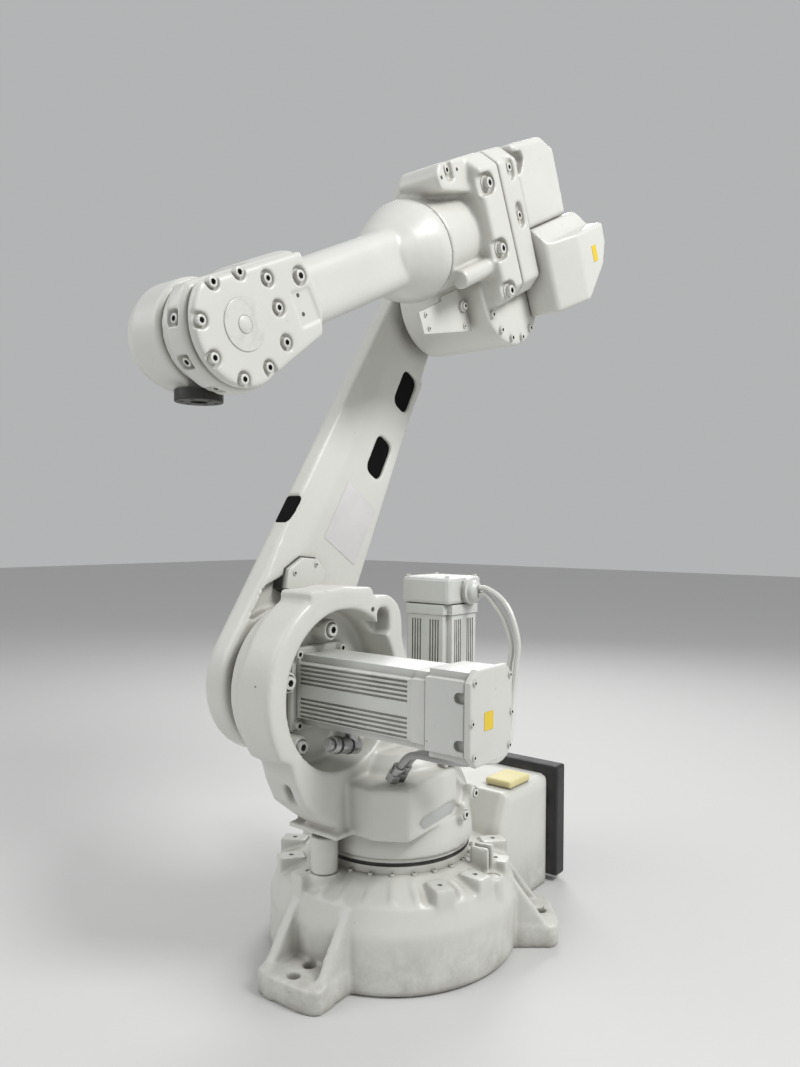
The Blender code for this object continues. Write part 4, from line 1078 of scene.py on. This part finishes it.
def make_motor_2_plugs():
    m = Motor2
    plugs, rings = Shape(), Shape()
    for rise in PLUG_RISES:
        stepped_plug(plugs, Vector((m.cap_low.x, m.cap_low.y + 0.058, m.z + rise)), Vector((-1, 0, 0)),
                     ((-0.002, 0.008, 0.015, 0.0012, 32), (0.006, 0.026, 0.0125, 0.0015, 32),
                      (0.025, 0.034, 0.009, 0.001, 32)))
    for gland in GLANDS:
        stepped_plug(plugs, gland - GLAND_LEAN * 0.035, GLAND_LEAN,
                     ((0, 0.016, 0.0125, 0.001, 6), (0.015, 0.032, 0.0105, 0.0015, 32)))
    elbow = Vector((m.x + 0.010, 0.052, m.low.z - 0.030))
    plugs.rod((elbow.x, elbow.y, m.low.z + 0.004), elbow, 0.0115)
    stepped_plug(plugs, elbow, ELBOW_AHEAD,
                 ((-0.014, 0.052, 0.0140, 0.0015, 32), (0.051, 0.062, 0.0105, 0.0012, 32)))
    stepped_plug(rings, elbow, ELBOW_AHEAD,
                 ((0.006, 0.012, 0.0148, 0.001, 32), (0.034, 0.040, 0.0148, 0.001, 32)))
    plugs.piece("motor_2_plugs", "turret", "bare_steel")
    rings.piece("motor_2_plug_rings", "turret", "black_plastic")


def make_motor_2_cables():
    m = Motor2
    for index, (rise, gland) in enumerate(zip(PLUG_RISES, GLANDS)):
        start = Vector((m.cap_low.x - 0.033, m.cap_low.y + 0.058, m.z + rise))
        end = gland - GLAND_LEAN * 0.006
        middle = (start + end) / 2
        lift = 0.010 * index     # the second cable lies above the first
        hose(f"motor_2_cable_{index + 1}", [
            start, start + Vector((-0.016, 0, 0)), start + Vector((-0.034, -0.004, -0.022)),
            (start.x - 0.040, start.y - 0.012, m.z - 0.075),
            (start.x - 0.018, start.y - 0.040, m.z - 0.112 + lift),
            (middle.x, middle.y + 0.010, m.z - 0.108 + lift),
            end + Vector((0, 0.030, 0.026)), end], CABLE_RADIUS, "turret", "cable_grey")


def make_motor_1_shell():
    low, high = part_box("motor_1_body")
    cap_low, cap_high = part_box("motor_1_cap")
    x, half = (low.x + high.x) / 2, (high.x - low.x) / 2
    cap_half = (cap_high.x - cap_low.x) / 2
    body, grooves = Shape(), Shape()
    body.prism(motor_profile(half, half, 0.013, (x, 0)), low.z, high.z - 0.018, "Z", bevel=0.0015)
    body.prism(motor_profile(cap_half, cap_half, 0.013, (x, 0)), high.z - 0.020, high.z, "Z",
               bevel=0.0012)
    for side, group in corner_signs():
        for i in range(4):
            along, out = group * 0.022 + (i - 1.5) * 0.0065, side * half
            grooves.block((x + along - 0.0017, out - 0.0035, low.z + 0.016),
                          (x + along + 0.0017, out + 0.0035, high.z - 0.030))
            grooves.block((x + out - 0.0035, along - 0.0017, low.z + 0.016),
                          (x + out + 0.0035, along + 0.0017, high.z - 0.030))
    cut_piece(body, grooves, "motor_1_shell", "motor_1_body", "turret", "motor_white")


def make_motor_1_screws():
    low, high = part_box("motor_1_body")
    plug_low, plug_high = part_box("motor_1_connector")
    x, cap, flange = (low.x + high.x) / 2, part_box("motor_1_cap")[1].z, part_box("motor_1_flange")[1].z
    plug_x, plug_z = (plug_low.x + plug_high.x) / 2, (plug_low.z + plug_high.z) / 2
    screws = Shape()
    screws.block((plug_x - 0.021, plug_low.y - 0.0005, plug_z - 0.021),
                 (plug_x + 0.021, plug_low.y + 0.0045, plug_z + 0.021), 0.0018)
    for u, v in corner_signs():
        screws.screw((x + u * 0.049, v * 0.049, cap - 0.0005), (0, 0, 1), 0.0042, 0.0032)
        screws.screw((x + u * 0.0515, v * 0.0515, flange - 0.0003), (0, 0, 1), 0.0068, 0.0075)
        screws.screw((plug_x + u * 0.0165, plug_low.y + 0.0042, plug_z + v * 0.0165), (0, 1, 0), 0.0032,
                     0.0026)
    screws.piece("motor_1_screws", "turret", "smooth_white", "dark")


# Seal with painted shadow in its groove, ring of screws and connector panel

RING_SCREWS = 24
SOCKET_BLOCKS = ((-0.100, -0.040), (-0.020, 0.040))     # from and to along the panel
ROUND_SOCKETS = (0.176, 0.134, 0.090)


def make_seal_and_shadow_band():
    low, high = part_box("turntable_ring")
    reach, tall = high.x, high.z - low.z
    seal_and_shadow_band = Shape()
    # The groove's bands take the dark finish: the dark seal, and painted shadow in the gap under the
    # turret's lip
    seal_and_shadow_band.lathe([(0, 0), (reach, 0), (reach, tall - 0.0125), (reach - 0.004, tall - 0.0120),
                (reach - 0.004, tall - 0.0060), (reach, tall - 0.0055), (reach, tall), (0, tall)],
               (0, 0, low.z), (0, 0, 1), 96, (2, 3, 4))
    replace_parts(seal_and_shadow_band.piece("turntable_seal_and_shadow_band", "base", "cast_white", "dark"), "turntable_ring")


def make_ring_screws():
    ring = Shape()
    for i in range(RING_SCREWS):
        x, y = polar(0.1495, 360 * (i + 0.5) / RING_SCREWS)
        ring.screw((x, y, 0.1684), (0, 0, 1), 0.0042, 0.004, sides=12)
    ring.piece("ring_screws", "base", "smooth_white", "dark")


def make_panel_sockets():
    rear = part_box("connector_panel")[0].x
    sockets, fixings = Shape(), Shape()
    for start, end in SOCKET_BLOCKS:
        sockets.block((rear - 0.009, start, 0.120), (rear + 0.001, end, 0.196), 0.0025)
    for z in ROUND_SOCKETS:
        sockets.rod((rear + 0.001, 0.078, z), (rear - 0.009, 0.078, z), 0.0145, bevel=0.0015)
    sockets.piece("panel_sockets", "base", "bare_steel")
    for y in (-0.128, 0.128):
        for z in (0.030, 0.130, 0.236):
            fixings.screw((rear + 0.0003, y, z), (-1, 0, 0), 0.005, 0.0035)
    fixings.piece("panel_screws", "base", "bare_steel", "dark")


add_camera()
add_light()
add_floor()
dress_nodes()

make_base_skin()
make_turret_skin()
make_turret_plate()
make_lower_arm_skin()
make_cable_windows()
make_lower_arm_label()
make_hex_cover()
make_round_covers()
make_house_skin()
make_house_covers()
make_house_screws()
make_side_cover_label()
cast("forearm_tube", "forearm", "smooth_white", BODY_VOXEL, 8)
make_wrist_housing()
make_wrist_cover()
make_wrist_screws()
make_wrist_disc()
cast("tilt_housing", "wrist_tilt", "smooth_white", WRIST_VOXEL, 6)
make_tool_flange()
make_motor_2_shell()
make_motor_2_cap()
make_motor_2_screws()
make_motor_2_plugs()
make_motor_2_cables()
make_motor_1_shell()
make_motor_1_screws()
make_seal_and_shadow_band()
make_ring_screws()
make_panel_sockets()

bpy.context.scene.view_settings.view_transform = "Standard"
